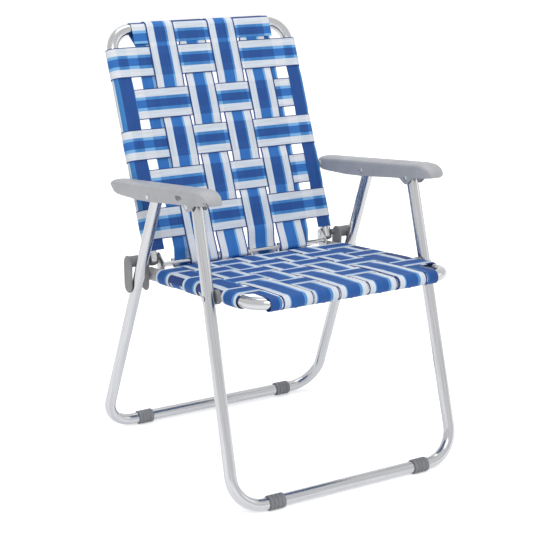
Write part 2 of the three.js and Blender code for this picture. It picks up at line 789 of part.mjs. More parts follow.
function backWebbing() {
  const web = new THREE.Group();
  const edges = {
    left: { from: -backHalfWidth, to: -backHalfWidth + backEdgeFlat },
    right: { from: backHalfWidth - backEdgeFlat, to: backHalfWidth },
  };
  const crossings = backColumns.filter(({ deep }) => !deep).map(({ middle }) => span(middle, backStrapWidth));
  crossings.unshift(edges.left);
  crossings.push(edges.right);
  backColumns.forEach((column) => {
    const { from, to } = span(column.middle, backStrapWidth);
    web.add(named(column.name, columnStrap(backColumnPath(column), from, to), webbingBlue));
  });
  const eye = bore(rivetRadius + jointClearance, pinSides);
  backRows.forEach(({ name, middle, overs }) => {
    const { from, to } = span(middle, backRowWidth);
    const strap = rowStrap(rowPath(backHalfWidth, crossings, overs), from, to);
    const eyelets = sides.map(({ sign }) => {
      const cutter = pin(eye, -tubeRadius * halfShare, tubeRadius, armTail.y - rod.y, armTail.z - railOffset);
      return mirrored(cutter.translate(backHalfWidth + tubeRadius, 0, 0), sign);
    });
    web.add(named(name, shaped(strap, [], eyelets), webbingBlue));
  });
  sides.forEach(({ name, sign }) => {
    const path = edgePath(backHalfWidth, backEdgeFlat, sign);
    web.add(named(`back_edge_strap_${name}`, rowStrap(path, backEdgeFoot, backEdgeTop), webbingBlue));
  });
  const topPath = [[topStrapFoot, levelLow], ...wrap(barLevel, 0, levelLow, 90, 90 - edgeWrap)];
  web.add(named('back_top_strap', columnStrap(topPath, -topStrapHalfWidth, topStrapHalfWidth), webbingBlue));
  return web;
}

// Seat webbing: y runs to the rear from the front pivot, level upwards from the plane of the rails

const seatRowWidth = 50;
const seatEdgeRear = 242;
const tongueOverlap = 14;

const seatColumns = [
  { name: 'seat_strap_1', middle: -132, width: 59.5 },
  { name: 'seat_strap_2', middle: -74, width: 50.6 },
  { name: 'seat_strap_3', middle: -17, width: 57 },
  { name: 'seat_strap_4', middle: 41.7, width: 52 },
  { name: 'seat_strap_5', middle: 110.2, width: 61 },
];

const oddOvers = [true, false, true, false, true, false, true];
const evenOvers = oddOvers.map((over) => !over);
const seatRows = [
  { name: 'seat_row_1', middle: 213, overs: oddOvers },
  { name: 'seat_row_2', middle: 159, overs: evenOvers },
  { name: 'seat_row_3', middle: 105, overs: oddOvers },
  { name: 'seat_row_4', middle: 47, overs: evenOvers },
  { name: 'seat_row_5', middle: -38, overs: oddOvers },
];

const seatEdges = [
  { name: 'seat_edge_strap_left', sign: -1, flat: 37.5, tongue: 21.5 },
  { name: 'seat_edge_strap_right', sign: 1, flat: 59.5, tongue: 21.5 },
];

function seatWebbing() {
  const web = new THREE.Group();
  const rodPlace = fromBack(rod);
  const away = { y: rodPlace.y - seatPivotPlace.y, z: rodPlace.z - seatPivotPlace.z };
  const rodReach = away.y * Math.cos(slope) - away.z * Math.sin(slope);
  const rear = rodReach - rod.radius - strapStep - clearance;
  const bend = frameBend - seatReach;
  const front = wrap(-seatReach, 0, levelLow, 90, 270);
  front.push([tailLength - seatReach, -levelLow]);
  const columnPath = [[rear, levelMiddle], [bend, levelMiddle], ...front];
  seatColumns.forEach(({ name, middle, width }) => {
    const { from, to } = span(middle, width);
    web.add(named(name, columnStrap(columnPath, from, to), webbingBlue));
  });
  const crossings = seatColumns.map(({ middle, width }) => span(middle, width));
  crossings.unshift({ from: -seatHalfWidth, to: -seatHalfWidth + seatEdges[0].flat });
  crossings.push({ from: seatHalfWidth - seatEdges[1].flat, to: seatHalfWidth });
  seatRows.forEach(({ name, middle, overs }) => {
    const { from, to } = span(middle, seatRowWidth);
    web.add(named(name, rowStrap(rowPath(seatHalfWidth, crossings, overs), from, to), webbingBlue));
  });
  seatEdges.forEach(({ name, sign, flat, tongue }) => {
    const along = rowStrap(edgePath(seatHalfWidth, flat, sign), bend + strapStep, seatEdgeRear);
    const inner = seatHalfWidth - flat;
    const path = [[bend + tongueOverlap, levelMiddle], [bend, levelMiddle], ...front];
    const [from, to] = sign > 0 ? [inner, inner + tongue] : [-inner - tongue, -inner];
    web.add(named(name, shaped(along, [columnStrap(path, from, to)], []), webbingBlue));
  });
  return web;
}

// Assembly

const rodSides = 16;
const spacerRadius = 13;
const flushDepth = 0.4;

function legAssembly(label, leg, holes) {
  const group = new THREE.Group();
  group.add(named(`${label}_leg_frame`, legFrame(leg, holes), aluminium));
  sides.forEach(({ name, sign }) => {
    const sleeve = named(`${label}_foot_sleeve_${name}`, footSleeve(), footPlastic);
    const place = leg.halfWidth + leg.foot.splay - leg.sleeveInset;
    sleeve.position.set(sign * place, leg.foot.y, footTubeHeight);
    group.add(sleeve);
  });
  return group;
}

function sidedRivet(name, sign, from, to, heads, place) {
  const mesh = named(name, mirrored(rivet(from, to, heads), sign), rivetSteel);
  mesh.position.set(0, place.y, place.z);
  return mesh;
}

function seatAssembly() {
  const group = new THREE.Group();
  group.position.set(0, seatPivotPlace.y, seatPivotPlace.z);
  group.rotation.x = -slope;
  group.add(named('seat_frame', seatFrame(), aluminium), seatWebbing());
  sides.forEach(({ name, sign }) => group.add(named(`seat_rail_cap_${name}`, seatCap(sign), greyPlastic)));
  return group;
}

function backAssembly() {
  const group = new THREE.Group();
  group.position.set(0, hinge.y, hinge.z);
  group.rotation.x = Math.PI * halfShare - lean;
  group.add(named('back_frame', backFrame(), aluminium));
  const rodHalf = plateOuter - clearance;
  const rodProfile = [
    [0, -rodHalf],
    [rod.radius, -rodHalf],
    [rod.radius, rodHalf],
    [0, rodHalf],
  ];
  const crossRod = named('back_cross_rod', turned(rodProfile, rodSides), aluminium);
  crossRod.position.set(0, rod.y, rod.z);
  group.add(crossRod);
  const web = backWebbing();
  web.position.set(0, rod.y, railOffset);
  group.add(web);
  const rivetFrom = plateInner - clearance;
  const rivetTo = midCheek + cheekThickness - flushDepth;
  sides.forEach(({ name, sign }) => {
    group.add(named(`back_rail_plug_${name}`, backPlug(sign), darkPlastic));
    group.add(named(`hinge_bracket_${name}`, hingeBracket(sign), darkPlastic));
    group.add(named(`hinge_inner_plate_${name}`, innerPlate(sign), darkPlastic));
    group.add(sidedRivet(`back_rivet_${name}`, sign, rivetFrom, rivetTo, 1, backRivet));
    group.add(sidedRivet(`seat_hinge_rivet_${name}`, sign, rivetFrom, rivetTo, 1, { y: 0, z: 0 }));
  });
  return group;
}

function seatFrontJoint() {
  const group = new THREE.Group();
  group.position.set(0, seatPivotPlace.y, seatPivotPlace.z);
  const legMiddle = legHalfWidthAt(frontLeg, seatPivot.z);
  const from = seatHalfWidth + tubeRadius + clearance;
  const to = legMiddle - tubeRadius - legSlack;
  const hole = bore(rivetRadius, pinSides);
  const ring = [
    [hole, from],
    [spacerRadius, from],
    [spacerRadius, to],
    [hole, to],
    [hole, from],
  ];
  const inside = seatHalfWidth - tubeRadius - clearance;
  const outside = legMiddle + tubeRadius + legSlack;
  sides.forEach(({ name, sign }) => {
    const spacer = mirrored(turned(ring, outerSides), sign);
    group.add(named(`seat_spacer_${name}`, spacer, darkPlastic));
    group.add(sidedRivet(`seat_front_rivet_${name}`, sign, inside, outside, 2, { y: 0, z: 0 }));
  });
  return group;
}

function armAssembly() {
  const group = new THREE.Group();
  group.position.set(0, frontPivot.y, frontPivot.z);
  const tailFrom = backHalfWidth - tubeRadius - clearance;
  const tailTo = armInner + armWall;
  const inside = armInner - clearance;
  sides.forEach(({ name, sign }) => {
    group.add(named(`armrest_${name}`, armrest(sign), greyPlastic));
    const frontTo = armPadFace({ y: 0, z: 0 }) + clearance;
    const rearTo = armPadFace(armRearPivot) + clearance;
    group.add(sidedRivet(`arm_front_rivet_${name}`, sign, inside, frontTo, 2, { y: 0, z: 0 }));
    group.add(sidedRivet(`arm_rear_rivet_${name}`, sign, inside, rearTo, 2, armRearPivot));
    group.add(sidedRivet(`arm_tail_rivet_${name}`, sign, tailFrom, tailTo, 1, armTailPivot));
  });
  return group;
}

function foldingChair() {
  const chair = new THREE.Group();
  const seatHole = { ...seatPivotPlace, radius: rivetRadius };
  chair.add(legAssembly('front', frontLeg, [{ ...frontPivot, radius: rivetRadius }, seatHole]));
  chair.add(legAssembly('rear', rearLeg, [{ ...rearPivot, radius: rivetRadius }]));
  chair.add(seatAssembly(), backAssembly(), seatFrontJoint(), armAssembly());
  const box = new THREE.Box3().setFromObject(chair, true);
  const middle = box.getCenter(new THREE.Vector3());
  chair.position.set(-middle.x, -middle.y, -box.min.z);
  return chair;
}

const chair = foldingChair();
export default chair;
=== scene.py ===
# A folding lawn chair with a woven webbing seat and back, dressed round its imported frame.
# Every length is in metres, with X across the chair, Y to its back and Z up.
import json
import math
from itertools import compress

import bmesh
import bpy
from mathutils import Matrix, Vector


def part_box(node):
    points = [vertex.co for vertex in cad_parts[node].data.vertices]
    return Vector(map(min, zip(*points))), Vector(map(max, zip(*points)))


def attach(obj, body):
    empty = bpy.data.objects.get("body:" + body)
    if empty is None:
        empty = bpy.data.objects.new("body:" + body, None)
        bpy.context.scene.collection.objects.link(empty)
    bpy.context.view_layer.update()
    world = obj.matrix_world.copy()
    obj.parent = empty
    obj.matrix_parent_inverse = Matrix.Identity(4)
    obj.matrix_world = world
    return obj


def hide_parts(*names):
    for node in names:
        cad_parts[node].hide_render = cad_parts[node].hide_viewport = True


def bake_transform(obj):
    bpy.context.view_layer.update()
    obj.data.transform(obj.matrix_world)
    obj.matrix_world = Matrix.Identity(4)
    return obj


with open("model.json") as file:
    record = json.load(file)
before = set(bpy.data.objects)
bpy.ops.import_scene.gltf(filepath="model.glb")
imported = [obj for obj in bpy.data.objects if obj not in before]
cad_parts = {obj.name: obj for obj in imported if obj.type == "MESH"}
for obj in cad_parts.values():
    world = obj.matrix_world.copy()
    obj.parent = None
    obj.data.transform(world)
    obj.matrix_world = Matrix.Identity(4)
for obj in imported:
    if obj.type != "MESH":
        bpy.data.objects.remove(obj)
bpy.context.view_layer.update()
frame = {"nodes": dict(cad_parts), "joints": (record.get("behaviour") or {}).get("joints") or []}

# Leg frames. The front and rear legs are U-shaped tubes of drawn aluminium, 22 mm across with a
# 1.2 mm wall. They are bent cold round a former, splay towards the floor and cross below the arms.

MM = 0.001
TUBE_RADIUS = 11 * MM
TUBE_WALL = 1.2 * MM
TUBE_SIDES = 40
BEND_STEPS = 18
LEG_BEND = 60 * MM
SHARP_EDGE = math.radians(35)

pivots = {joint["name"]: Vector(joint["pos_m"]) for joint in frame["joints"]}


def linear(hex_colour):
    """An sRGB hex colour as linear red, green, blue and an alpha of 1."""
    shares = [int(hex_colour[i : i + 2], 16) / 255 for i in (1, 3, 5)]
    return [s / 12.92 if s <= 0.04045 else ((s + 0.055) / 1.055) ** 2.4 for s in shares] + [1.0]


def add(tree, kind, inputs=None, **settings):
    """Adds a node with its settings. Inputs are given by socket name or number, as values or links."""
    node = tree.nodes.new(kind)
    for setting, value in settings.items():
        setattr(node, setting, value)
    for socket, value in (inputs or {}).items():
        if isinstance(value, bpy.types.Node):
            value = value.outputs[0]
        if isinstance(value, bpy.types.NodeSocket):
            tree.links.new(value, node.inputs[socket])
        else:
            node.inputs[socket].default_value = value
    return node


def new_material(name):
    """An empty node material and its tree."""
    material = bpy.data.materials.new(name)
    material.use_nodes = True
    material.node_tree.nodes.clear()
    return material, material.node_tree


def stops(tree, factor, colours):
    """A ramp from factor through (place, colour) stops."""
    ramp = add(tree, "ShaderNodeValToRGB", {"Fac": factor})
    while len(ramp.color_ramp.elements) < len(colours):
        ramp.color_ramp.elements.new(1.0)
    for element, (place, colour) in zip(ramp.color_ramp.elements, colours):
        element.position = place
        element.color = colour
    return ramp


def end_material(tree, height, strength, depth, look):
    """Ends a material in its shader, with the height as a relief of that depth."""
    relief = add(tree, "ShaderNodeBump", {"Height": height, "Strength": strength, "Distance": depth})
    shader = add(tree, "ShaderNodeBsdfPrincipled", {"Normal": relief, **look})
    add(tree, "ShaderNodeOutputMaterial", {"Surface": shader})


def new_shape_tree(name, sockets):
    """An empty Geometry Nodes tree with named inputs after its geometry."""
    tree = bpy.data.node_groups.new(name, "GeometryNodeTree")
    tree.interface.new_socket("Geometry", in_out="INPUT", socket_type="NodeSocketGeometry")
    for label, kind in sockets:
        tree.interface.new_socket(label, in_out="INPUT", socket_type="NodeSocket" + kind)
    tree.interface.new_socket("Geometry", in_out="OUTPUT", socket_type="NodeSocketGeometry")
    return tree


def end_tree(tree, shape, material):
    """Ends a tree in plain geometry with its material, because the export drops instances."""
    solid = add(tree, "GeometryNodeRealizeInstances", {"Geometry": shape})
    painted = add(tree, "GeometryNodeSetMaterial", {"Geometry": solid, "Material": material})
    add(tree, "NodeGroupOutput", {"Geometry": painted})


def guide_mesh(points, values=None, edges=None):
    """A wire for a tree to follow, one line where no edges are given. Values are for its points."""
    chain = [(i, i + 1) for i in range(len(points) - 1)]
    mesh = bpy.data.meshes.new("guide")
    mesh.from_pydata([tuple(p) for p in points], edges or chain, [])
    for name, column in (values or {}).items():
        vector = isinstance(column[0], Vector)
        attribute = mesh.attributes.new(name, "FLOAT_VECTOR" if vector else "FLOAT", "POINT")
        flat = [x for v in column for x in v] if vector else column
        attribute.data.foreach_set("vector" if vector else "value", flat)
    return mesh


def in_scene(name, data):
    """An object for a mesh, a lamp or a lens, in the scene at its origin."""
    made = bpy.data.objects.new(name, data)
    bpy.context.scene.collection.objects.link(made)
    return made


def kept_piece(name, mesh):
    """A finished mesh as a piece, smooth except at its sharp edges."""
    mesh.name = name
    mesh.shade_smooth()
    mesh.set_sharp_from_angle(angle=SHARP_EDGE)
    return in_scene(name, mesh)


def plain_mesh(source):
    """What an object's modifiers make of it, as a mesh. The object itself goes."""
    graph = bpy.context.evaluated_depsgraph_get()
    made = source.evaluated_get(graph)
    mesh = bpy.data.meshes.new_from_object(made, preserve_all_data_layers=True, depsgraph=graph)
    bpy.data.objects.remove(source)
    return mesh


def grown(name, guide, tree, inputs, place=Matrix.Identity(4), wall=0.0, inward=0.0):
    """Runs a tree along a guide, gives the skin its wall, and keeps the result as a plain mesh."""
    source = in_scene("source", guide)
    nodes = source.modifiers.new("shape", "NODES")
    nodes.node_group = tree
    for item in tree.interface.items_tree:
        if item.in_out == "INPUT" and item.name in inputs:
            nodes[item.identifier] = inputs[item.name]
    if wall:
        shell = source.modifiers.new("wall", "SOLIDIFY")
        shell.thickness = wall
        shell.offset = inward
        shell.use_even_offset = True
    mesh = plain_mesh(source)
    mesh.transform(place)
    return kept_piece(name, mesh)


def bent_line(corners, bend_radius):
    """Points along straight runs that are joined by round bends."""
    points = [corners[0]]
    for before, corner, after in zip(corners, corners[1:], corners[2:]):
        come = (corner - before).normalized()
        leave = (after - corner).normalized()
        turn = come.angle(leave)
        start = corner - come * bend_radius * math.tan(turn / 2)
        inward = (leave - come * leave.dot(come)).normalized()
        centre = start + inward * bend_radius
        for i in range(BEND_STEPS + 1):
            angle = turn * i / BEND_STEPS
            points.append(centre + (come * math.sin(angle) - inward * math.cos(angle)) * bend_radius)
    return points + [corners[-1]]


def fitted(piece, node, body):
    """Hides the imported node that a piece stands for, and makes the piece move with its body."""
    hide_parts(node)
    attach(piece, body)


tube_sockets = [("Radius", "Float"), ("Sides", "Int"), ("Material", "Material")]
tree = tube_tree = new_shape_tree("Drawn tube", tube_sockets)
wanted = add(tree, "NodeGroupInput").outputs
run = add(tree, "GeometryNodeMeshToCurve", {"Mesh": wanted["Geometry"]})
reach = add(tree, "GeometryNodeSplineParameter")
length = {"Geometry": run, "Name": "tube_along", "Value": reach.outputs["Length"]}
measured_run = add(tree, "GeometryNodeStoreNamedAttribute", length)
round_sizes = {"Resolution": wanted["Sides"], "Radius": wanted["Radius"]}
ring = add(tree, "GeometryNodeCurvePrimitiveCircle", round_sizes)
spot = add(tree, "GeometryNodeInputPosition")
around = {"Geometry": ring, "Name": "tube_round", "Value": spot}
measured_ring = add(tree, "GeometryNodeStoreNamedAttribute", around, data_type="FLOAT_VECTOR")
skin = add(tree, "GeometryNodeCurveToMesh", {"Curve": measured_run, "Profile Curve": measured_ring})
end_tree(tree, skin, wanted["Material"])

# Satin drawn aluminium tube: the die leaves fine lengthwise lines, which spread a highlight round the
# tube. The lines are really about 0.1 mm apart, and are drawn 0.8 mm apart so that they show.
satin_tube, tree = new_material("Satin drawn aluminium tube")
LINES_ACROSS = 1 / (0.8 * MM)
LINES_ALONG = 1 / (90 * MM)
HANDLING = 1 / (45 * MM)
around = add(tree, "ShaderNodeAttribute", attribute_name="tube_round")
along = add(tree, "ShaderNodeAttribute", attribute_name="tube_along")
apart = add(tree, "ShaderNodeSeparateXYZ", {"Vector": around.outputs["Vector"]})
sockets = {"X": apart.outputs["X"], "Y": apart.outputs["Y"], "Z": along.outputs["Fac"]}
unrolled = add(tree, "ShaderNodeCombineXYZ", sockets)
grain = (LINES_ACROSS, LINES_ACROSS, LINES_ALONG)
stretched = add(tree, "ShaderNodeVectorMath", {0: unrolled, 1: grain}, operation="MULTIPLY")
lines = add(tree, "ShaderNodeTexNoise", {"Vector": stretched, "Scale": 1.0, "Detail": 3.0})
place = add(tree, "ShaderNodeTexCoord").outputs["Object"]
smudges = add(tree, "ShaderNodeTexNoise", {"Vector": place, "Scale": HANDLING, "Detail": 4.0})
tint = stops(tree, lines, [(0.3, linear("#B0B1B4")), (0.7, linear("#C8C9CB"))])
reaches = {"From Min": 0.3, "From Max": 0.7, "To Min": 0.15, "To Max": 0.2}
haze = add(tree, "ShaderNodeMapRange", {"Value": smudges, **reaches})
end_material(tree, lines, 0.1, 0.05 * MM, {"Base Color": tint, "Metallic": 1.0, "Roughness": haze})

SIDES = {"left": -1, "right": 1}
LEGS = {
    "front": {"pivot": "arm_left_fold", "half_width": 232.4 * MM, "splay": 9.5 * MM, "past": 12 * MM},
    "rear": {"pivot": "rear_leg_fold", "half_width": 234.5 * MM, "splay": 19 * MM, "past": 10 * MM},
}


def drawn_tube(name, line, place=Matrix.Identity(4), radius=TUBE_RADIUS, sides=TUBE_SIDES):
    """A tube along a line, its wall inside the radius."""
    sizes = {"Radius": radius, "Sides": sides, "Material": satin_tube}
    return grown(name, guide_mesh(line), tube_tree, sizes, place, wall=TUBE_WALL, inward=-1.0)


for label, leg in LEGS.items():
    low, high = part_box(f"{label}_foot_sleeve_left")
    foot = (low + high) / 2
    foot.x = leg["half_width"] + leg["splay"]
    pivot = pivots[leg["pivot"]].copy()
    pivot.x = leg["half_width"]
    top = pivot + (pivot - foot).normalized() * leg["past"]
    flip = Vector((-1, 1, 1))
    line = bent_line([top * flip, foot * flip, foot, top], LEG_BEND)
    fitted(drawn_tube(f"{label}_leg_tube", line), f"{label}_leg_frame", f"{label}_legs")

# Foot sleeves. Each leg stands on two ribbed collars of grey polypropylene, moulded in one piece and
# pushed onto the floor run of the tube before it is bent. The ribs keep the chair from sliding.

SLEEVE_HALF = 16 * MM
SLEEVE_RADIUS = 13.73 * MM
SLEEVE_BORE = 11.3 * MM
SLEEVE_RIBS = 4
RIB_DEPTH = 1.5 * MM
RIB_STEPS = 10
GROOVE_SHARE = 0.16
SLEEVE_EDGE = 0.6 * MM
CLOUD_SIZE = 30 * MM
RUBBED_SIZE = 70 * MM
TURNED_SIDES = 48


def outward_mesh(name, shape):
    """The mesh of a worked shape, its faces turned outwards."""
    bmesh.ops.recalc_face_normals(shape, faces=shape.faces)
    mesh = bpy.data.meshes.new(name)
    shape.to_mesh(mesh)
    shape.free()
    return mesh


def turned_piece(name, profile, place, material):
    """A closed shape turned about its X axis from a profile of (distance along X, radius) points."""
    shape = bmesh.new()
    points = [shape.verts.new((along, radius, 0)) for along, radius in profile]
    ends = points[1:] + ([points[0]] if profile[0][1] > 0 else [])
    lines = [shape.edges.new(pair) for pair in zip(points, ends)]
    turn = {"axis": (1, 0, 0), "cent": (0, 0, 0), "angle": 2 * math.pi, "steps": TURNED_SIDES}
    bmesh.ops.spin(shape, geom=points + lines, use_merge=True, **turn)
    bmesh.ops.remove_doubles(shape, verts=shape.verts, dist=0.001 * MM)
    mesh = outward_mesh(name, shape)
    mesh.transform(place)
    mesh.materials.append(material)
    return kept_piece(name, mesh)


def moulded_plastic(name, pale, deep, roughness, grain):
    """A matt moulded thermoplastic: a cloudy tint, spark-eroded grain and rubbed, shinier patches."""
    material, tree = new_material(name)
    place = add(tree, "ShaderNodeTexCoord").outputs["Object"]
    cloud, pores, rubbed = (
        add(tree, "ShaderNodeTexNoise", {"Vector": place, "Scale": 1 / size, "Detail": detail})
        for size, detail in ((CLOUD_SIZE, 5.0), (grain, 2.0), (RUBBED_SIZE, 3.0))
    )
    tint = stops(tree, cloud, [(0.32, linear(deep)), (0.68, linear(pale))])
    reaches = {"From Min": 0.35, "From Max": 0.65, "To Min": roughness - 0.08, "To Max": roughness + 0.06}
    gloss = add(tree, "ShaderNodeMapRange", {"Value": rubbed, **reaches})
    end_material(tree, pores, 0.3, 0.06 * MM, {"Base Color": tint, "Roughness": gloss, "IOR": 1.49})
    return material


# Grey polypropylene, injection moulded: matt, slightly waxy, with the fine grain of an eroded tool.
# The grain is really about 0.2 mm and is drawn at 0.9 mm, so that it shows at arm's length.
foot_plastic = moulded_plastic("Moulded grey polypropylene", "#84868A", "#76787C", 0.58, 0.9 * MM)

sleeve_profile = [(-SLEEVE_HALF, SLEEVE_BORE)]
rib_pitch = 2 * SLEEVE_HALF / SLEEVE_RIBS
for step in range(SLEEVE_RIBS * RIB_STEPS + 1):
    share = step / RIB_STEPS % 1
    cut = RIB_DEPTH * max(0.0, 1 - (min(share, 1 - share) / GROOVE_SHARE) ** 2)
    if step in (0, SLEEVE_RIBS * RIB_STEPS):
        cut = SLEEVE_EDGE
    sleeve_profile.append((step * rib_pitch / RIB_STEPS - SLEEVE_HALF, SLEEVE_RADIUS - cut))
sleeve_profile.append((SLEEVE_HALF, SLEEVE_BORE))
for label in LEGS:
    for side in SIDES:
        node = f"{label}_foot_sleeve_{side}"
        low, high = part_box(node)
        middle = Matrix.Translation((low + high) / 2)
        sleeve = turned_piece(f"{label}_foot_grip_{side}", sleeve_profile, middle, foot_plastic)
        fitted(sleeve, node, f"{label}_legs")

# Seat frame. A U-shaped tube, open to the rear, hangs between the front legs on two rivets. A grey
# moulded cap closes each rear end, and a moulded washer keeps each rail off its leg.

SEAT_HALF = 203.5 * MM
SEAT_FRONT = 120 * MM
HINGE_REACH = 279.1 * MM
RAIL_PAST = 7 * MM
SEAT_SLOPE = math.radians(5.04)
FRAME_BEND = 45 * MM
CAP_RADIUS = 12.5 * MM
CAP_BORE = 11.4 * MM
CAP_START = 243 * MM
CAP_END = 292.1 * MM
CAP_ROUND = 6 * MM
CAP_LIP = 0.8 * MM
END_GAP = 0.3 * MM
ROUND_STEPS = 8
WASHER_RADIUS = 13 * MM
WASHER_BORE = 3 * MM
WASHER_EDGE = 0.8 * MM

seat_place = Matrix.Translation(pivots["seat_fold"]) @ Matrix.Rotation(-SEAT_SLOPE, 4, "X")


def bent_frame(half, ends, bar, level):
    """The line of a U-shaped frame, from one open end round its bar to the other."""
    corners = ((-half, ends), (-half, bar), (half, bar), (half, ends))
    return bent_line([Vector((x, y, level)) for x, y in corners], FRAME_BEND)


rear_end = HINGE_REACH + RAIL_PAST
seat_line = bent_frame(SEAT_HALF, rear_end, -SEAT_FRONT, 0)
fitted(drawn_tube("seat_tube", seat_line, seat_place), "seat_frame", "seat")

# Grey ABS, injection moulded, as the armrests are: satin, with a broad soft sheen. Its grain of about
# 0.2 mm is drawn at 1.1 mm, so that it shows.
arm_plastic = moulded_plastic("Moulded satin grey ABS", "#A9AAAE", "#9FA1A5", 0.46, 1.1 * MM)

cap_floor = rear_end + END_GAP
cap_profile = [(cap_floor, 0), (cap_floor, CAP_BORE), (CAP_START, CAP_BORE)]
cap_profile += [(CAP_START, CAP_RADIUS - CAP_LIP), (CAP_START + CAP_LIP, CAP_RADIUS)]
quarter = [math.pi / 2 * step / ROUND_STEPS for step in range(ROUND_STEPS + 1)]
cap_profile += [
    (CAP_END - CAP_ROUND * (1 - math.sin(a)), CAP_RADIUS - CAP_ROUND * (1 - math.cos(a))) for a in quarter
]
cap_profile.append((CAP_END, 0))
quarter_turn = Matrix.Rotation(math.pi / 2, 4, "Z")
for side, sign in SIDES.items():
    place = seat_place @ Matrix.Translation((sign * SEAT_HALF, 0, 0)) @ quarter_turn
    cap = turned_piece(f"seat_rail_end_{side}", cap_profile, place, arm_plastic)
    fitted(cap, f"seat_rail_cap_{side}", "seat")

# Darker grey polypropylene, injection moulded: matt and slightly waxy, like the foot sleeves, with the
# same grain drawn at 0.8 mm. The hinge fittings are made of it too.
fitting_plastic = moulded_plastic("Moulded dark grey polypropylene", "#7F8083", "#6F7073", 0.5, 0.8 * MM)
for side in SIDES:
    low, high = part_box(f"seat_spacer_{side}")
    rim = WASHER_RADIUS - WASHER_EDGE
    ring = [(low.x, WASHER_BORE), (low.x, rim), (low.x + WASHER_EDGE, WASHER_RADIUS)]
    ring += [(high.x - WASHER_EDGE, WASHER_RADIUS), (high.x, rim), (high.x, WASHER_BORE)]
    place = Matrix.Translation((0, (low.y + high.y) / 2, (low.z + high.z) / 2))
    washer = turned_piece(f"seat_washer_{side}", ring, place, fitting_plastic)
    fitted(washer, f"seat_spacer_{side}", "front_legs")

# Back frame. An inverted U of the same tube carries the back, with a thin cross rod at its foot where
# the webbing turns into the seat, and a rounded plug of grey plastic in each lower end.

BACK_HALF = 199.5 * MM
BACK_HEIGHT = 478.8 * MM
BACK_END = 21.5 * MM
RAIL_OFFSET = 3.75 * MM
BACK_LEAN = math.radians(21.7)
ROD_UP = 13.3 * MM
ROD_OUT = 13.95 * MM
ROD_RADIUS = 5 * MM
ROD_SIDES = 24

back_place = Matrix.Translation(pivots["back_fold"]) @ Matrix.Rotation(math.pi / 2 - BACK_LEAN, 4, "X")
back_line = bent_frame(BACK_HALF, BACK_END, BACK_HEIGHT, RAIL_OFFSET)
fitted(drawn_tube("back_tube", back_line, back_place), "back_frame", "back")

low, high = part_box("back_cross_rod")
rod_ends = [Vector((x, ROD_UP, ROD_OUT)) for x in (low.x, high.x)]
cross_rod = drawn_tube("cross_rod", rod_ends, back_place, ROD_RADIUS, ROD_SIDES)
fitted(cross_rod, "back_cross_rod", "back")

PLUG_DOME = 6 * MM
PLUG_STEM = 8.8 * MM
PLUG_LENGTH = 5 * MM
plug_face = BACK_END - END_GAP
plug_profile = [(plug_face - PLUG_DOME * math.cos(a), TUBE_RADIUS * math.sin(a)) for a in quarter]
stem_end = BACK_END + PLUG_LENGTH
plug_profile += [(plug_face, PLUG_STEM), (stem_end, PLUG_STEM), (stem_end, 0)]
for side, sign in SIDES.items():
    place = back_place @ Matrix.Translation((sign * BACK_HALF, 0, RAIL_OFFSET)) @ quarter_turn
    plug = turned_piece(f"back_tube_plug_{side}", plug_profile, place, fitting_plastic)
    fitted(plug, f"back_rail_plug_{side}", "back")

# Hinge fittings. A moulded bracket straddles each rear leg and carries the back and the seat on two
# rivets, and a pressed steel link inside the rails holds the same rivets and the cross rod.

BRACKET_SOFTENING = (0.7 * MM, 4)
LINK_SOFTENING = (0.55 * MM, 3)
PLATING_SIZE = 6 * MM


def softened(name, node, softening, material, cutter=None):
    """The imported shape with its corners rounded, as a moulding's or a pressing's are, less any cutter.
    Softening is the size of its voxels and how many times they are smoothed."""
    mesh = frame["nodes"][node].data.copy()
    shape = bmesh.new()
    shape.from_mesh(mesh)
    bmesh.ops.remove_doubles(shape, verts=shape.verts, dist=0.001 * MM)
    shape.to_mesh(mesh)
    shape.free()
    mesh.materials.clear()
    source = in_scene("source", mesh)
    if cutter:
        cut = source.modifiers.new("cut", "BOOLEAN")
        cut.object = cutter
        cut.solver = "EXACT"
    even = source.modifiers.new("even", "REMESH")
    even.mode = "VOXEL"
    rounded = source.modifiers.new("rounded", "SMOOTH")
    rounded.factor = 0.5
    even.voxel_size, rounded.iterations = softening
    kept = plain_mesh(source)
    kept.materials.append(material)
    return kept_piece(name, kept)


def plated_metal(name, pale, deep, roughness):
    """Bright plated or worked metal with a faint cloud in its shine."""
    material, tree = new_material(name)
    place = add(tree, "ShaderNodeTexCoord").outputs["Object"]
    cloud = add(tree, "ShaderNodeTexNoise", {"Vector": place, "Scale": 1 / PLATING_SIZE, "Detail": 4.0})
    tint = stops(tree, cloud, [(0.3, linear(deep)), (0.7, linear(pale))])
    reaches = {"To Min": roughness - 0.08, "To Max": roughness + 0.1}
    gloss = add(tree, "ShaderNodeMapRange", {"Value": cloud, **reaches})
    end_material(tree, cloud, 0.2, 0.05 * MM, {"Base Color": tint, "Metallic": 1.0, "Roughness": gloss})
    return material


# Zinc-plated pressed steel: a slightly milky mirror, cloudy from the plating bath.
plated_steel = plated_metal("Zinc-plated pressed steel", "#C2C3C5", "#A9ABAF", 0.34)
for side in SIDES:
    node = f"hinge_bracket_{side}"
    bracket = softened(f"leg_bracket_{side}", node, BRACKET_SOFTENING, fitting_plastic)
    fitted(bracket, node, "back")
    node = f"hinge_inner_plate_{side}"
    link = softened(f"hinge_link_{side}", node, LINK_SOFTENING, plated_steel)
    fitted(link, node, "back")

# Armrests. Each is one ABS moulding, a long channel that is open below and hides the tops of the legs,
# with a crowned top, a rounded nose, a teardrop notch in its outer skirt and bosses for three rivets.

ARM_SOFTENING = (1.15 * MM, 6)
ARM_SKIRT = (246 * MM, 264 * MM)
NOTCH_TIP = (18 * MM, 11.5 * MM, 2.2 * MM)
NOTCH_BULB = (33 * MM, 8.5 * MM, 4.6 * MM)
NOTCH_SIDES = 16


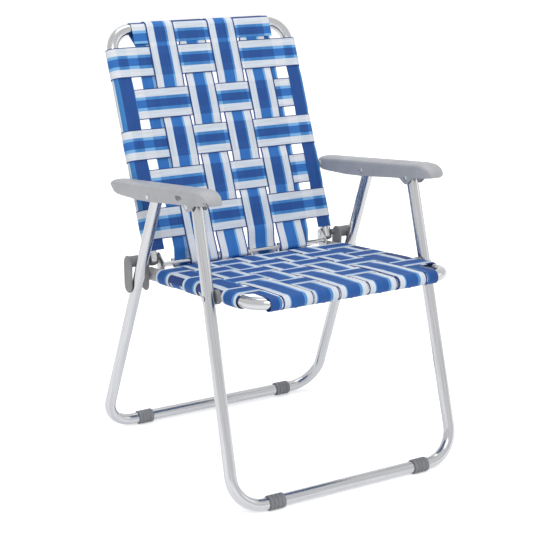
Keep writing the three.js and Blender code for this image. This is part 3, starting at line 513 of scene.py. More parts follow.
def teardrop(sign):
    """A prism through the outer skirt, with a teardrop outline made of a small arc and a larger one."""
    outline = []
    for (y, z, radius), middle in ((NOTCH_TIP, math.pi), (NOTCH_BULB, 0)):
        centre = pivots["arm_left_fold"] + Vector((0, y, z))
        for i in range(NOTCH_SIDES + 1):
            angle = middle + math.pi * (i / NOTCH_SIDES - 0.5)
            outline.append((centre.y + radius * math.cos(angle), centre.z + radius * math.sin(angle)))
    shape = bmesh.new()
    near, far = ([shape.verts.new((sign * x, y, z)) for y, z in outline] for x in ARM_SKIRT)
    for face in (near, far, *zip(near, near[1:] + near[:1], far[1:] + far[:1], far)):
        shape.faces.new(face)
    return in_scene("teardrop", outward_mesh("teardrop", shape))


for side, sign in SIDES.items():
    node = f"armrest_{side}"
    notch = teardrop(sign)
    armrest = softened(f"arm_moulding_{side}", node, ARM_SOFTENING, arm_plastic, notch)
    bpy.data.objects.remove(notch)
    fitted(armrest, node, f"arm_{side}")

# Rivets. Semi-tubular rivets of bright steel pin every joint through both walls of the tube, with a
# low domed head 10 mm across and, where a moulding covers it, a flush clenched end.

SHANK_RADIUS = 2.5 * MM
HEAD_RADIUS = 5 * MM
HEAD_HEIGHT = 1.6 * MM
RIVET_SIDES = 28
DOME_SHARE = 0.95
DOME_STEPS = 5

rivet_sockets = [("Shank radius", "Float"), ("Head radius", "Float"), ("Head height", "Float")]
rivet_sockets += [("Sides", "Int"), ("Material", "Material")]
tree = rivet_tree = new_shape_tree("Domed rivets", rivet_sockets)
wanted = add(tree, "NodeGroupInput").outputs
shank_line = add(tree, "GeometryNodeMeshToCurve", {"Mesh": wanted["Geometry"]})
round_sizes = {"Resolution": wanted["Sides"], "Radius": wanted["Shank radius"]}
shank_ring = add(tree, "GeometryNodeCurvePrimitiveCircle", round_sizes)
swept = {"Curve": shank_line, "Profile Curve": shank_ring, "Fill Caps": True}
shank = add(tree, "GeometryNodeCurveToMesh", swept)
unit = {"Vertices": wanted["Sides"], "Side Segments": DOME_STEPS, "Radius": 1.0, "Depth": 1.0}
blank = add(tree, "GeometryNodeMeshCylinder", unit)
spot = add(tree, "ShaderNodeSeparateXYZ", {"Vector": add(tree, "GeometryNodeInputPosition")}).outputs
height = add(tree, "ShaderNodeMath", {0: spot["Z"], 1: 0.5}, operation="ADD")
drop = add(tree, "ShaderNodeMath", {0: height, 1: DOME_SHARE}, operation="MULTIPLY")
drop = add(tree, "ShaderNodeMath", {0: drop, 1: 2.0}, operation="POWER")
inset = add(tree, "ShaderNodeMath", {0: 1.0, 1: drop}, operation="SUBTRACT")
inset = add(tree, "ShaderNodeMath", {0: inset}, operation="SQRT")
head_radius = wanted["Head radius"]
breadth = add(tree, "ShaderNodeMath", {0: inset, 1: head_radius}, operation="MULTIPLY")
sizes = {"X": (spot["X"], breadth), "Y": (spot["Y"], breadth)}
sizes["Z"] = (height, wanted["Head height"])
scaled = {
    axis: add(tree, "ShaderNodeMath", dict(enumerate(pair)), operation="MULTIPLY")
    for axis, pair in sizes.items()
}
domed = add(tree, "ShaderNodeCombineXYZ", scaled)
head = add(tree, "GeometryNodeSetPosition", {"Geometry": blank, "Position": domed})
facing = add(tree, "GeometryNodeInputNamedAttribute", {"Name": "facing"}, data_type="FLOAT_VECTOR")
facing = facing.outputs["Attribute"]
headed = add(tree, "ShaderNodeVectorMath", {0: facing}, operation="LENGTH")
turn = add(tree, "FunctionNodeAlignRotationToVector", {"Vector": facing}, axis="Z")
has_head = {0: headed.outputs["Value"], 1: 0.5}
chosen = add(tree, "FunctionNodeCompare", has_head, data_type="FLOAT", operation="GREATER_THAN")
set_on = {"Points": wanted["Geometry"], "Selection": chosen, "Instance": head, "Rotation": turn}
heads = add(tree, "GeometryNodeInstanceOnPoints", set_on)
together = add(tree, "GeometryNodeJoinGeometry")
for part in (shank, heads):
    tree.links.new(part.outputs[0], together.inputs[0])
end_tree(tree, together, wanted["Material"])

# Bright steel rivet, cold headed: a small clean mirror with a soft roll-off at the rim.
rivet_steel = plated_metal("Bright cold-headed steel rivet", "#CFD0D2", "#B4B6B9", 0.26)
rivet_sizes = {"Shank radius": SHANK_RADIUS, "Head radius": HEAD_RADIUS, "Head height": HEAD_HEIGHT}
rivet_sizes |= {"Sides": RIVET_SIDES, "Material": rivet_steel}
RIVETS = {
    "seat_front_rivet": ("front_legs", 2),
    "arm_front_rivet": ("front_legs", 2),
    "arm_rear_rivet": ("arm", 2),
    "arm_tail_rivet": ("arm", 1),
    "back_rivet": ("back", 1),
    "seat_hinge_rivet": ("back", 1),
}
for label, (body, heads_each) in RIVETS.items():
    for side, sign in SIDES.items():
        low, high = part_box(f"{label}_{side}")
        middle = (low + high) / 2
        inner, outer = sorted((low.x, high.x), key=abs)
        ends = (inner + sign * HEAD_HEIGHT, outer - sign * HEAD_HEIGHT * (heads_each - 1))
        points = [Vector((x, middle.y, middle.z)) for x in ends]
        faces = [Vector((-sign, 0, 0)), Vector((sign * (heads_each - 1), 0, 0))]
        guide = guide_mesh(points, {"facing": faces})
        rivet = grown(f"{label}_pin_{side}", guide, rivet_tree, rivet_sizes)
        fitted(rivet, f"{label}_{side}", f"arm_{side}" if body == "arm" else body)

# Back webbing. Woven polypropylene webbing, about 60 mm wide and 1 mm thick, in a plain weave. The
# straps go round the tube and are screwed to it behind. Two more lie beneath the outer columns, one
# covers each side rail, and a short one closes the top.

WEB_THICK = 1 * MM
WEB_HALF = 30 * MM
WEB_SEGMENTS = 14
# How far a strap's middle runs from a tube's axis, from the outermost layer to the innermost.
OVER = 13.75 * MM
EVEN = 13.1 * MM
UNDER = 12.45 * MM
NEAREST = 11.8 * MM
DEEP = 10.5 * MM
RUN_STEP = 2 * MM
# Angles round a tube, in degrees.
ARC_STEP = 7.5
WRAP_PAST = 30
EDGE_ROLL = math.radians(100)
BLUE_SHARE = 0.46
# Shares of painted shade for a strap over white cloth and over blue or a second layer, which let less
# light through it from behind.
PAINTED_SHADE_OVER_WHITE = 0.88
PAINTED_SHADE_DOUBLED = 1.0


def turned(centre, radius, start, end):
    """Points round a tube, its angles in degrees from the strap's own direction towards its face."""
    steps = math.ceil(abs(end - start) / ARC_STEP)
    angles = [math.radians(start + (end - start) * i / steps) for i in range(steps + 1)]
    return [(centre[0] + radius * math.cos(a), centre[1] + radius * math.sin(a)) for a in angles]


def smooth(share):
    """A share from 0 to 1 that starts and ends softly."""
    share = min(max(share, 0), 1)
    return share * share * (3 - 2 * share)


def eased(knots):
    """Points that ease from each (distance, level) knot to the next."""
    points = [knots[0]]
    for (start, low), (end, high) in zip(knots, knots[1:]):
        steps = max(1, math.ceil((end - start) / RUN_STEP))
        for i in range(1, steps + 1):
            share = i / steps
            points.append((start + (end - start) * share, low + (high - low) * smooth(share)))
    return points


def crossed(spans, overs):
    """Knots that hold a strap over or under each crossing span."""
    return [(edge, OVER if over else UNDER) for span, over in zip(spans, overs) for edge in span]


def painted_shade_over(distance, spans, single_layer_shade):
    """How much painted shade a strap gets from what lies beneath it: nothing, white cloth or blue. The
    shade stands in for light let through the thin webbing.
    """
    for low, high in spans:
        if low < distance < high:
            share = abs(distance - (low + high) / 2) / ((high - low) / 2)
            return PAINTED_SHADE_DOUBLED if share < BLUE_SHARE else max(PAINTED_SHADE_OVER_WHITE, single_layer_shade)
    return single_layer_shade


web_sockets = [("Segments", "Int"), ("Roll side", "Float"), ("Stripe half width", "Float")]
tree = web_tree = new_shape_tree("Woven strap", web_sockets + [("Material", "Material")])
wanted = add(tree, "NodeGroupInput").outputs
run = add(tree, "GeometryNodeMeshToCurve", {"Mesh": wanted["Geometry"]})
upright = add(tree, "GeometryNodeSetCurveNormal", {"Curve": run}, mode="Z_UP")
reach = add(tree, "GeometryNodeSplineParameter")
length = {"Geometry": upright, "Name": "web_along", "Value": reach.outputs["Length"]}
measured_run = add(tree, "GeometryNodeStoreNamedAttribute", length)
unit = add(tree, "GeometryNodeCurvePrimitiveLine", {"Start": (0, 0, 0), "End": (0, 1, 0)})
segments = wanted["Segments"]
breadth = add(tree, "GeometryNodeResampleCurve", {"Curve": unit, "Count": segments})
skin = add(tree, "GeometryNodeCurveToMesh", {"Curve": measured_run, "Profile Curve": breadth})
spot = add(tree, "ShaderNodeSeparateXYZ", {"Vector": add(tree, "GeometryNodeInputPosition")}).outputs
side_a, side_b, middle = (
    add(tree, "GeometryNodeInputNamedAttribute", {"Name": name}).outputs["Attribute"]
    for name in ("side_a", "side_b", "stripe_middle")
)
reaches = {"From Min": 0.0, "From Max": -1.0, "To Min": side_a, "To Max": side_b}
across = add(tree, "ShaderNodeMapRange", {"Value": spot["Z"], **reaches})
half_width = wanted["Stripe half width"]
stripe = add(tree, "ShaderNodeMath", {0: across, 1: middle}, operation="SUBTRACT")
stripe = add(tree, "ShaderNodeMath", {0: stripe, 1: half_width}, operation="DIVIDE")
for name, value in (("web_across", across), ("web_stripe", stripe)):
    measure = {"Geometry": skin, "Name": name, "Value": value}
    skin = add(tree, "GeometryNodeStoreNamedAttribute", measure)
side = wanted["Roll side"]
outward = add(tree, "ShaderNodeMath", {0: across, 1: side}, operation="MULTIPLY")
outward = add(tree, "ShaderNodeMath", {0: outward, 1: 0.0}, operation="MAXIMUM")
angle = add(tree, "ShaderNodeMath", {0: outward, 1: spot["Y"]}, operation="DIVIDE")
swing = add(tree, "ShaderNodeMath", {0: angle}, operation="SINE")
swing = add(tree, "ShaderNodeMath", {0: swing, 1: spot["Y"]}, operation="MULTIPLY")
swing = add(tree, "ShaderNodeMath", {0: swing, 1: outward}, operation="SUBTRACT")
rolled = add(tree, "ShaderNodeMath", {0: swing, 1: side, 2: across}, operation="MULTIPLY_ADD")
height = add(tree, "ShaderNodeMath", {0: angle}, operation="COSINE")
height = add(tree, "ShaderNodeMath", {0: height, 1: spot["Y"]}, operation="MULTIPLY")
laid = add(tree, "ShaderNodeCombineXYZ", {"X": spot["X"], "Y": height, "Z": rolled})
shaped = add(tree, "GeometryNodeSetPosition", {"Geometry": skin, "Position": laid})
end_tree(tree, shaped, wanted["Material"])

RIB = 2 * math.pi / (2.4 * MM)
PICK = 2 * math.pi / (2 * MM)
RIB_SHARE = 0.6
STREAK = (1 / (4 * MM), 1 / (70 * MM), 1.0)
# Where the thin navy line along each strap edge begins, as a share of the half width.
NAVY_EDGE_FROM = 0.94
STRIPE_SOFT = 0.004
# Stripe colours of a single layer, painted paler as light let through from behind, and of a doubled
# layer, painted darker as shade.
SINGLE_LAYER_PAINTED_BACKLIGHT = ("#2068B4", "#72ABDC", "#D6DAE1", "#184286")
DOUBLED_LAYER_PAINTED_SHADE = ("#08458C", "#2F78BA", "#C9D2DC", "#0F3675")


def webbing_material(name, blue, dark):
    """Striped webbing. Blue and dark are stripes as shares of the width, from -1 to 1 across it. A
    stretch on its own is painted paler, as painted light let through from behind, and a doubled one
    darker, as painted shade."""
    material, tree = new_material(name)
    stripe, painted_shade, across, along = (
        add(tree, "ShaderNodeAttribute", attribute_name=f"web_{held}").outputs["Fac"]
        for held in ("stripe", "painted_shade", "across", "along")
    )
    layers = []
    spread = add(tree, "ShaderNodeMath", {0: stripe, 1: 0.5, 2: 0.5}, operation="MULTIPLY_ADD")
    for deep, light, white, navy in (SINGLE_LAYER_PAINTED_BACKLIGHT, DOUBLED_LAYER_PAINTED_SHADE):
        edges = (-NAVY_EDGE_FROM, -blue, dark[0], dark[1], blue, NAVY_EDGE_FROM)
        marks = [(0.0, linear(navy))]
        for place, colour in zip(edges, (white, light, deep, light, white, navy)):
            marks.append(((place + 1) / 2 - STRIPE_SOFT, marks[-1][1]))
            marks.append(((place + 1) / 2, linear(colour)))
        layers.append(stops(tree, spread, marks))
    # The painted shade mixes a strap from its single-layer colours towards its doubled ones.
    both = {"Factor": painted_shade, 6: layers[0], 7: layers[1]}
    blended = add(tree, "ShaderNodeMix", both, data_type="RGBA")
    waves = []
    for reach, pitch in ((across, RIB), (along, PICK)):
        turns = add(tree, "ShaderNodeMath", {0: reach, 1: pitch}, operation="MULTIPLY")
        waves.append(add(tree, "ShaderNodeMath", {0: turns}, operation="SINE"))
    rib, pick = waves
    weave = add(tree, "ShaderNodeMath", {0: rib, 1: pick}, operation="MULTIPLY")
    weave = add(tree, "ShaderNodeMath", {0: rib, 1: RIB_SHARE, 2: weave}, operation="MULTIPLY_ADD")
    streaks_at = add(tree, "ShaderNodeCombineXYZ", {"X": across, "Y": along})
    stretched = add(tree, "ShaderNodeVectorMath", {0: streaks_at, 1: STREAK}, operation="MULTIPLY")
    streaks = add(tree, "ShaderNodeTexNoise", {"Vector": stretched, "Scale": 1.0, "Detail": 2.0})
    reaches = {"From Min": 0.3, "From Max": 0.7, "To Min": 0.89, "To Max": 1.08}
    shade = add(tree, "ShaderNodeMapRange", {"Value": streaks, **reaches})
    yarn = add(tree, "ShaderNodeHueSaturation", {"Color": blended.outputs[2], "Value": shade})
    end_material(tree, weave, 0.35, 0.12 * MM, {"Base Color": yarn, "Roughness": 0.68, "IOR": 1.49})
    return material


# Woven polypropylene webbing: flat extruded yarns, warp ribs lengthwise and picks across them. The ribs
# are really about 1.2 mm apart and are drawn 2.4 mm apart, so that they show.
row_webbing = webbing_material("Blue striped polypropylene webbing, rows", 0.46, (-0.27, 0.25))
column_webbing = webbing_material("Blue striped polypropylene webbing, columns", 0.47, (-0.44, 0.33))


def lay_strap(
    name, node, place, material, points, sides, beneath=(), single_layer_shade=0.0,
    middle=0.0, half=WEB_HALF, roll=0.0, bends=False,
):
    """One strap along its points. Sides are its two edges across, as one pair or a pair for each point.
    Beneath are the spans of what it lies on, which set its painted shade together with the shade of a
    single layer, and middle and half are where its stripes are."""
    body = name.split("_")[0]
    pairs = sides if isinstance(sides, list) else [sides] * len(points)
    path = [Vector((along, level, 0)) for along, level in points]
    columns = {
        "side_a": [pair[0] for pair in pairs],
        "side_b": [pair[1] for pair in pairs],
        "stripe_middle": [middle] * len(path),
        # How much painted shade each point gets, from what lies beneath it.
        "web_painted_shade": [painted_shade_over(along, beneath, single_layer_shade) for along, level in points],
    }
    sizes = {"Segments": WEB_SEGMENTS, "Roll side": roll, "Stripe half width": half, "Material": material}
    piece = grown(name, guide_mesh(path, columns), web_tree, sizes, place, wall=WEB_THICK)
    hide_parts(node)
    if not bends:
        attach(piece, body)
    runs = [(b - a).length for a, b in zip(path, path[1:])]
    wide = [abs(b - a) for a, b in pairs]
    area = sum(run * (a + b) / 2 for run, a, b in zip(runs, wide, wide[1:]))
    flat = (max(wide), sum(runs))
    area = min(area, flat[0] * flat[1])
    return piece


BAR_UP = 465.5 * MM
ROD_LEVEL = 10.2 * MM
ROD_WRAP = 5.8 * MM
ROD_TURN = 80
ROD_LEAVES = 6 * MM
CLEAR_FROM = 40
CLEAR_OVER = 35
UP_THE_CHAIR = Matrix(((0, 0, 1, 0), (1, 0, 0, 0), (0, 1, 0, 0), (0, 0, 0, 1)))
ACROSS_THE_CHAIR = Matrix(((1, 0, 0, 0), (0, 0, -1, 0), (0, 1, 0, 0), (0, 0, 0, 1)))
back_web = back_place @ Matrix.Translation((0, ROD_UP, RAIL_OFFSET))


def column_place(web, across):
    """Where a column lies in a web: its own X runs up the chair and its own Y out of the cloth."""
    return web @ Matrix.Translation((across, 0, 0)) @ UP_THE_CHAIR


def row_place(web, up):
    """Where a row lies in a web: its own X runs across the chair and its own Y out of the cloth."""
    return web @ Matrix.Translation((0, up, 0)) @ ACROSS_THE_CHAIR


def span_of(middle, width):
    """A strap's two edges."""
    return (middle - width / 2, middle + width / 2)


BACK_WIDE = 62 * MM
BACK_ROW_WIDE = 60 * MM
BACK_EDGE_FLAT = 23 * MM
BACK_COLUMNS = {"1": -95.8 * MM, "2": -28.9 * MM, "3": 41.5 * MM, "4": 108.5 * MM}
BACK_DEEP = {"left": -124 * MM, "right": 121 * MM}
BACK_ROWS = {"5": 79 * MM, "4": 154 * MM, "3": 234 * MM, "2": 313 * MM, "1": 397 * MM}
ODD_OVERS = (True, False, True, False, True, True)
TOP_SPAN = (433 * MM, BAR_UP)
TOP_HALF = 156 * MM
EDGE_FOOT = 29 * MM
EDGE_TOP = 417 * MM
EDGE_STRIPE = 9 * MM
EDGE_STRIPE_HALF = 52 * MM
TOP_STRIPE = 20 * MM
DEEP_FROM = 30 * MM
DEEP_LEAVES = 430 * MM
DEEP_STRIPE = 17 * MM

column_spans = [span_of(middle, BACK_WIDE) for middle in BACK_COLUMNS.values()]
deep_spans = [span_of(middle, BACK_WIDE) for middle in BACK_DEEP.values()]
row_spans = [span_of(middle, BACK_ROW_WIDE) for middle in BACK_ROWS.values()]
rails = [(-BACK_HALF, -BACK_HALF + BACK_EDGE_FLAT), (BACK_HALF - BACK_EDGE_FLAT, BACK_HALF)]


def row_overs(label):
    """Which of the crossings a back row lies over, from the left rail to the right."""
    return ODD_OVERS if int(label) % 2 else [not over for over in ODD_OVERS]


def bar_wrap(level):
    """A column's turn over the top bar, clear of the strap beneath it there."""
    clear = max(level, EVEN)
    points = []
    for x, y in turned((0, 0), 1.0, 90, -90 - WRAP_PAST):
        share = smooth((CLEAR_FROM - math.degrees(math.atan2(y, x))) / CLEAR_OVER)
        radius = level + (clear - level) * share
        points.append((BAR_UP + x * radius, y * radius))
    return points


for i, (label, middle) in enumerate(BACK_COLUMNS.items()):
    face = -1 if label == "3" else 1
    spans = row_spans + [TOP_SPAN]
    overs = [not row_overs(row)[i + 1] for row in BACK_ROWS] + [label in ("1", "3")]
    knots = crossed(spans, overs)
    points = turned((0, ROD_LEVEL), ROD_WRAP, face * (90 + ROD_TURN), face * 90)
    points += eased([(ROD_LEAVES, ROD_LEVEL + face * ROD_WRAP)] + knots) + bar_wrap(knots[-1][1])[1:]
    lay_strap(
        f"back_column_{label}", f"back_strap_{label}", column_place(back_web, middle), column_webbing,
        points, span_of(0, BACK_WIDE), beneath=list(compress(spans, overs)),
    )

away = math.hypot(BAR_UP - DEEP_LEAVES, DEEP)
entry = math.atan2(DEEP, DEEP_LEAVES - BAR_UP) + math.acos(NEAREST / away) - 2 * math.pi
points = turned((0, ROD_LEVEL), ROD_WRAP, -90 - ROD_TURN, -90)
points += eased([(ROD_LEAVES, ROD_LEVEL - ROD_WRAP), (DEEP_FROM, DEEP), (DEEP_LEAVES, DEEP)])
points += turned((BAR_UP, 0), NEAREST, math.degrees(entry), 0)
for side, middle in BACK_DEEP.items():
    lay_strap(
        f"back_lower_column_{side}", f"back_under_strap_{side}", column_place(back_web, middle),
        column_webbing, points, span_of(0, BACK_WIDE), middle=math.copysign(DEEP_STRIPE, middle),
    )


def row_points(half, spans, overs):
    """A row's path: up round the left rail, across the crossing spans and down round the right rail."""
    knots = crossed(spans, overs)
    left = turned((-half, 0), knots[0][1], WRAP_PAST - 90, -270)
    right = turned((half, 0), knots[-1][1], 90, -90 - WRAP_PAST)
    return left[:-1] + eased(knots) + right[1:]


for label, up in BACK_ROWS.items():
    spans = [rails[0]] + column_spans + [rails[1]]
    overs = row_overs(label)
    lay_strap(
        f"back_band_{label}", f"back_row_{label}", row_place(back_web, up), row_webbing,
        row_points(BACK_HALF, spans, overs), span_of(0, BACK_ROW_WIDE),
        beneath=list(compress(spans, overs)) + deep_spans,
    )

back_roll = EDGE_ROLL * EVEN
for side, sign in SIDES.items():
    knots = crossed(row_spans, [not row_overs(row)[0 if sign < 0 else -1] for row in BACK_ROWS])
    knots[0], knots[-1] = (EDGE_FOOT, knots[0][1]), (EDGE_TOP, knots[-1][1])
    lay_strap(
        f"back_border_{side}", f"back_edge_strap_{side}", column_place(back_web, sign * BACK_HALF),
        row_webbing, eased(knots),
        (-back_roll, BACK_EDGE_FLAT) if sign < 0 else (-BACK_EDGE_FLAT, back_roll), single_layer_shade=PAINTED_SHADE_DOUBLED,
        middle=-sign * EDGE_STRIPE, half=EDGE_STRIPE_HALF, roll=sign,
    )

overs = [False, True, False, True]
lay_strap(
    "back_top_band", "back_top_strap", row_place(back_web, BAR_UP), row_webbing,
    eased([(-TOP_HALF, UNDER)] + crossed(column_spans, overs) + [(TOP_HALF, EVEN)]),
    (-back_roll, BAR_UP - TOP_SPAN[0]), beneath=list(compress(column_spans, overs)), middle=TOP_STRIPE,
    roll=-1.0,
)

# Seat webbing. The same webbing is woven across the seat. The columns go round the front of the tube,
# and at the rear they pass beneath the cross rod and turn up behind it.

seat_row_webbing = webbing_material("Blue striped webbing, seat rows", 0.6, (-0.5, 0.4))
seat_column_webbing = webbing_material("Blue striped webbing, seat columns", 0.56, (-0.47, 0.38))
SEAT_ROW_WIDE = 50 * MM
SEAT_COLUMNS = {
    "1": (-132 * MM, 59.5 * MM),
    "2": (-74 * MM, 50.6 * MM),
    "3": (-17 * MM, 57 * MM),
    "4": (45.2 * MM, 59 * MM),
    "5": (109.2 * MM, 63 * MM),
}
SEAT_ROWS = {"5": -38 * MM, "4": 47 * MM, "3": 105 * MM, "2": 159 * MM, "1": 213 * MM}
SEAT_EDGES = {"left": (-1, 37.5 * MM), "right": (1, 59.5 * MM)}
TONGUE = 21.5 * MM
SEAT_EDGE_REAR = 242 * MM
SEAT_BEND = -75 * MM
# Painted shade on the seat's single layers, as little light comes up through them from beneath.
SEAT_PAINTED_SHADE = 0.75
TAIL = 10 * MM
SEAT_ROD_WRAP = 7.1 * MM
SEAT_EDGE_STRIPE = 16 * MM
ROLL_OVER = 14 * MM
ROD_LEAD = 5 * MM

into_seat = seat_place.inverted() @ back_place
rod_in_seat = into_seat @ Vector((0, ROD_UP, ROD_OUT))
up_in_seat = into_seat.to_3x3() @ Vector((0, 1, 0))
lean = math.degrees(math.atan2(up_in_seat.z, up_in_seat.y))
seat_row_spans = [span_of(middle, SEAT_ROW_WIDE) for middle in SEAT_ROWS.values()]
seat_spans = [(-SEAT_HALF, -SEAT_HALF + SEAT_EDGES["left"][1])]
seat_spans += [span_of(*place) for place in SEAT_COLUMNS.values()]
seat_spans += [(SEAT_HALF - SEAT_EDGES["right"][1], SEAT_HALF)]
nose = turned((-SEAT_FRONT, 0), NEAREST, 270 + WRAP_PAST, 90)
nose_knots = [(-SEAT_FRONT + RUN_STEP, NEAREST), (SEAT_BEND, EVEN)]


def seat_row_overs(label):
    """Which of the crossings a seat row lies over, from the left rail to the right."""
    return [(crossing + int(label)) % 2 == 1 for crossing in range(len(seat_spans))]


hook = turned((rod_in_seat.y, rod_in_seat.z), SEAT_ROD_WRAP, -90, lean - 90)
hook.append((hook[-1][0] + up_in_seat.y * TAIL, hook[-1][1] + up_in_seat.z * TAIL))
under_rod = (rod_in_seat.y - ROD_LEAD, rod_in_seat.z - SEAT_ROD_WRAP)
for i, (label, (middle, width)) in enumerate(SEAT_COLUMNS.items()):
    overs = [not seat_row_overs(row)[i + 1] for row in SEAT_ROWS]
    column = lay_strap(
        f"seat_column_{label}", f"seat_strap_{label}", column_place(seat_place, middle),
        seat_column_webbing,
        nose + eased(nose_knots + crossed(seat_row_spans, overs) + [under_rod]) + hook, span_of(0, width),
        beneath=list(compress(seat_row_spans, overs)), single_layer_shade=SEAT_PAINTED_SHADE,
        middle=width / 2 - WEB_HALF if label in ("2", "4") else 0.0, bends=True,
    )
    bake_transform(column)

for label, along in SEAT_ROWS.items():
    overs = seat_row_overs(label)
    lay_strap(
        f"seat_band_{label}", f"seat_row_{label}", row_place(seat_place, along), seat_row_webbing,
        row_points(SEAT_HALF, seat_spans, overs), span_of(0, SEAT_ROW_WIDE),
        beneath=list(compress(seat_spans, overs)), single_layer_shade=SEAT_PAINTED_SHADE,
    )

for side, (sign, flat) in SEAT_EDGES.items():
    overs = [not seat_row_overs(row)[0 if sign < 0 else -1] for row in SEAT_ROWS]
    knots = nose_knots + crossed(seat_row_spans, overs)
    knots[-1] = (SEAT_EDGE_REAR, knots[-1][1])
    points = nose + eased(knots)
    pairs = []
    for i, (along, level) in enumerate(points):
        rolled = smooth((along - SEAT_BEND) / ROLL_OVER) if i >= len(nose) else 0
        outer = (flat - TONGUE) + (-EDGE_ROLL * EVEN - flat + TONGUE) * rolled
        pairs.append((outer, flat) if sign < 0 else (-flat, -outer))
    lay_strap(
        f"seat_border_{side}", f"seat_edge_strap_{side}", column_place(seat_place, sign * SEAT_HALF),
        seat_column_webbing, points, pairs, single_layer_shade=PAINTED_SHADE_DOUBLED, middle=-sign * (flat - SEAT_EDGE_STRIPE),
        roll=sign,
    )

# Strap screws. A short pan-head screw of plated steel holds each strap end to the tube behind it,
# driven through the middle of the webbing into a punched hole.

SCREW_HEAD = 3.6 * MM
SCREW_HEIGHT = 1.5 * MM
SCREW_SHANK = 1.4 * MM
SCREW_DEEP = 1.6 * MM
SCREW_BACK = 24


def screw_spot(place, centre, radius, angle):
    """A screw's shank end and head end on a strap wrapped round a tube, and which way it faces."""
    turn = math.radians(angle)
    out = Vector((math.cos(turn), math.sin(turn), 0))
    middle = Vector((centre, 0, 0))
    face = radius + WEB_THICK / 2
    ends = (place @ (middle + out * (face - SCREW_DEEP)), place @ (middle + out * face))
    return (*ends, (place.to_3x3() @ out).normalized())


def row_screws(place, half, overs):
    """The screws at a row's two ends, behind the rails."""
    left, right = (OVER if over else UNDER for over in (overs[0], overs[-1]))
    return [screw_spot(place, -half, left, 180 - screw_at), screw_spot(place, half, right, screw_at)]


screw_at = -90 - WRAP_PAST + SCREW_BACK
back_spots, seat_spots = [], []
for label, up in BACK_ROWS.items():
    back_spots += row_screws(row_place(back_web, up), BACK_HALF, row_overs(label))
for label, middle in BACK_COLUMNS.items():
    level = OVER if label in ("1", "3") else EVEN
    back_spots.append(screw_spot(column_place(back_web, middle), BAR_UP, level, screw_at))
for label, along in SEAT_ROWS.items():
    seat_spots += row_screws(row_place(seat_place, along), SEAT_HALF, seat_row_overs(label))
for middle, width in SEAT_COLUMNS.values():
    place = column_place(seat_place, middle)
    seat_spots.append(screw_spot(place, -SEAT_FRONT, NEAREST, 180 - screw_at))
screw_sizes = {"Shank radius": SCREW_SHANK, "Head radius": SCREW_HEAD, "Head height": SCREW_HEIGHT}
screw_sizes |= {"Sides": RIVET_SIDES, "Material": plated_steel}
for body, spots in (("back", back_spots), ("seat", seat_spots)):
    points = [point for start, end, out in spots for point in (start, end)]
    faces = [face for start, end, out in spots for face in (Vector((0, 0, 0)), out)]
    shanks = [(i, i + 1) for i in range(0, len(points), 2)]
    guide = guide_mesh(points, {"facing": faces}, shanks)
    screws = grown(f"{body}_strap_screws", guide, rivet_tree, screw_sizes)
    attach(screws, body)

# Studio. The chair stands on near-white painted board in a white room that is brightest at the upper
# left. A large lamp stands there, a weak one at the right, and one hangs above. The camera looks down
# on the chair from its left.

FLOOR_HALF = 7.0
FLOOR_GLOW = 0.44
UNEVEN_PER_METRE = 3.0
CAMERA_YAW = 0.547
CAMERA_PITCH = 0.259
CAMERA_DISTANCE = 2.7894
CAMERA_AIM = Vector((0, 0.0254, 0.3577))
LENS = 97.37
SOFT_LIGHT_FROM = (-0.28, -0.46, 0.84)
SOFT_LIGHT_FALL = {"From Min": -0.3, "From Max": 0.9, "To Min": 0.18, "To Max": 1.0}


def background_mask(tree):
    """1 for what sees the plain background: the camera, metal and glass. It is 0 for all other light."""
    ray = add(tree, "ShaderNodeLightPath")
    mask = ray.outputs["Is Camera Ray"]
    for kind in ("Is Glossy Ray", "Is Transmission Ray"):
        mask = add(tree, "ShaderNodeMath", {0: mask, 1: ray.outputs[kind]}, operation="MAXIMUM")
    return mask


# Matt white paint on smooth board: a diffuse sheet, a little uneven, that keeps the chair's shadow. It
# adds light of its own for the rays of the mask only, as an overexposed white backdrop does.
board, tree = new_material("Matt white painted board")
place = add(tree, "ShaderNodeTexCoord").outputs["Object"]
uneven = add(tree, "ShaderNodeTexNoise", {"Vector": place, "Scale": UNEVEN_PER_METRE})
tint = stops(tree, uneven, [(0.35, linear("#FAFAFB")), (0.65, linear("#FDFDFD"))])
paint = add(tree, "ShaderNodeBsdfPrincipled", {"Base Color": tint, "Roughness": 0.9, "IOR": 1.45})
bright = add(tree, "ShaderNodeMath", {0: background_mask(tree), 1: FLOOR_GLOW}, operation="MULTIPLY")
glow = add(tree, "ShaderNodeEmission", {"Color": (1, 1, 1, 1), "Strength": bright})
both = add(tree, "ShaderNodeAddShader", {0: paint, 1: glow})
add(tree, "ShaderNodeOutputMaterial", {"Surface": both})

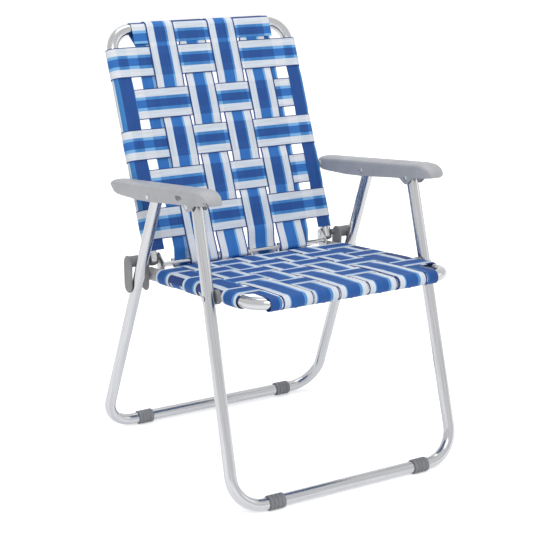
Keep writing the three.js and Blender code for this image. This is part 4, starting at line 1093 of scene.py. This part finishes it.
floor_mesh = bpy.data.meshes.new("floor")
corners = [(x * FLOOR_HALF, y * FLOOR_HALF, 0) for x, y in ((-1, -1), (1, -1), (1, 1), (-1, 1))]
floor_mesh.from_pydata(corners, [], [(0, 1, 2, 3)])
floor_mesh.materials.append(board)
in_scene("floor", floor_mesh)

world = bpy.data.worlds.new("White studio")
bpy.context.scene.world = world
world.use_nodes = True
sky = world.node_tree
sky.nodes.clear()
toward = add(sky, "ShaderNodeTexCoord").outputs["Generated"]
facing = add(sky, "ShaderNodeVectorMath", {0: toward, 1: SOFT_LIGHT_FROM}, operation="DOT_PRODUCT")
soft_light = add(sky, "ShaderNodeMapRange", {"Value": facing.outputs["Value"], **SOFT_LIGHT_FALL})
seen = {"Factor": background_mask(sky), "A": soft_light, "B": 1.0}
strength = add(sky, "ShaderNodeMix", seen, data_type="FLOAT")
white = add(sky, "ShaderNodeBackground", {"Color": (1, 1, 1, 1), "Strength": strength})
add(sky, "ShaderNodeOutputWorld", {"Surface": white})

# Each lamp's place, its size and its power in watts.
LAMPS = {
    "key": ((-1.3, -2.1, 2.5), 1.2, 24),
    "fill": ((2.3, -1.3, 1.2), 1.2, 3),
    "top": ((0.2, 0.6, 2.7), 1.6, 13),
}
for label, (spot, size, power) in LAMPS.items():
    light = bpy.data.lights.new(label, "AREA")
    light.shape = "SQUARE"
    light.size = size
    light.energy = power
    source = in_scene(label, light)
    source.location = spot
    source.rotation_euler = (CAMERA_AIM - source.location).to_track_quat("-Z", "Y").to_euler()

lens = bpy.data.cameras.new("camera")
lens.sensor_width = 36
lens.lens = LENS
camera = in_scene("camera", lens)
level = math.cos(CAMERA_PITCH)
ahead = Vector((math.sin(CAMERA_YAW) * level, math.cos(CAMERA_YAW) * level, -math.sin(CAMERA_PITCH)))
camera.location = CAMERA_AIM - ahead * CAMERA_DISTANCE
camera.rotation_euler = ahead.to_track_quat("-Z", "Y").to_euler()
bpy.context.scene.camera = camera
bpy.context.scene.view_settings.view_transform = "Standard"
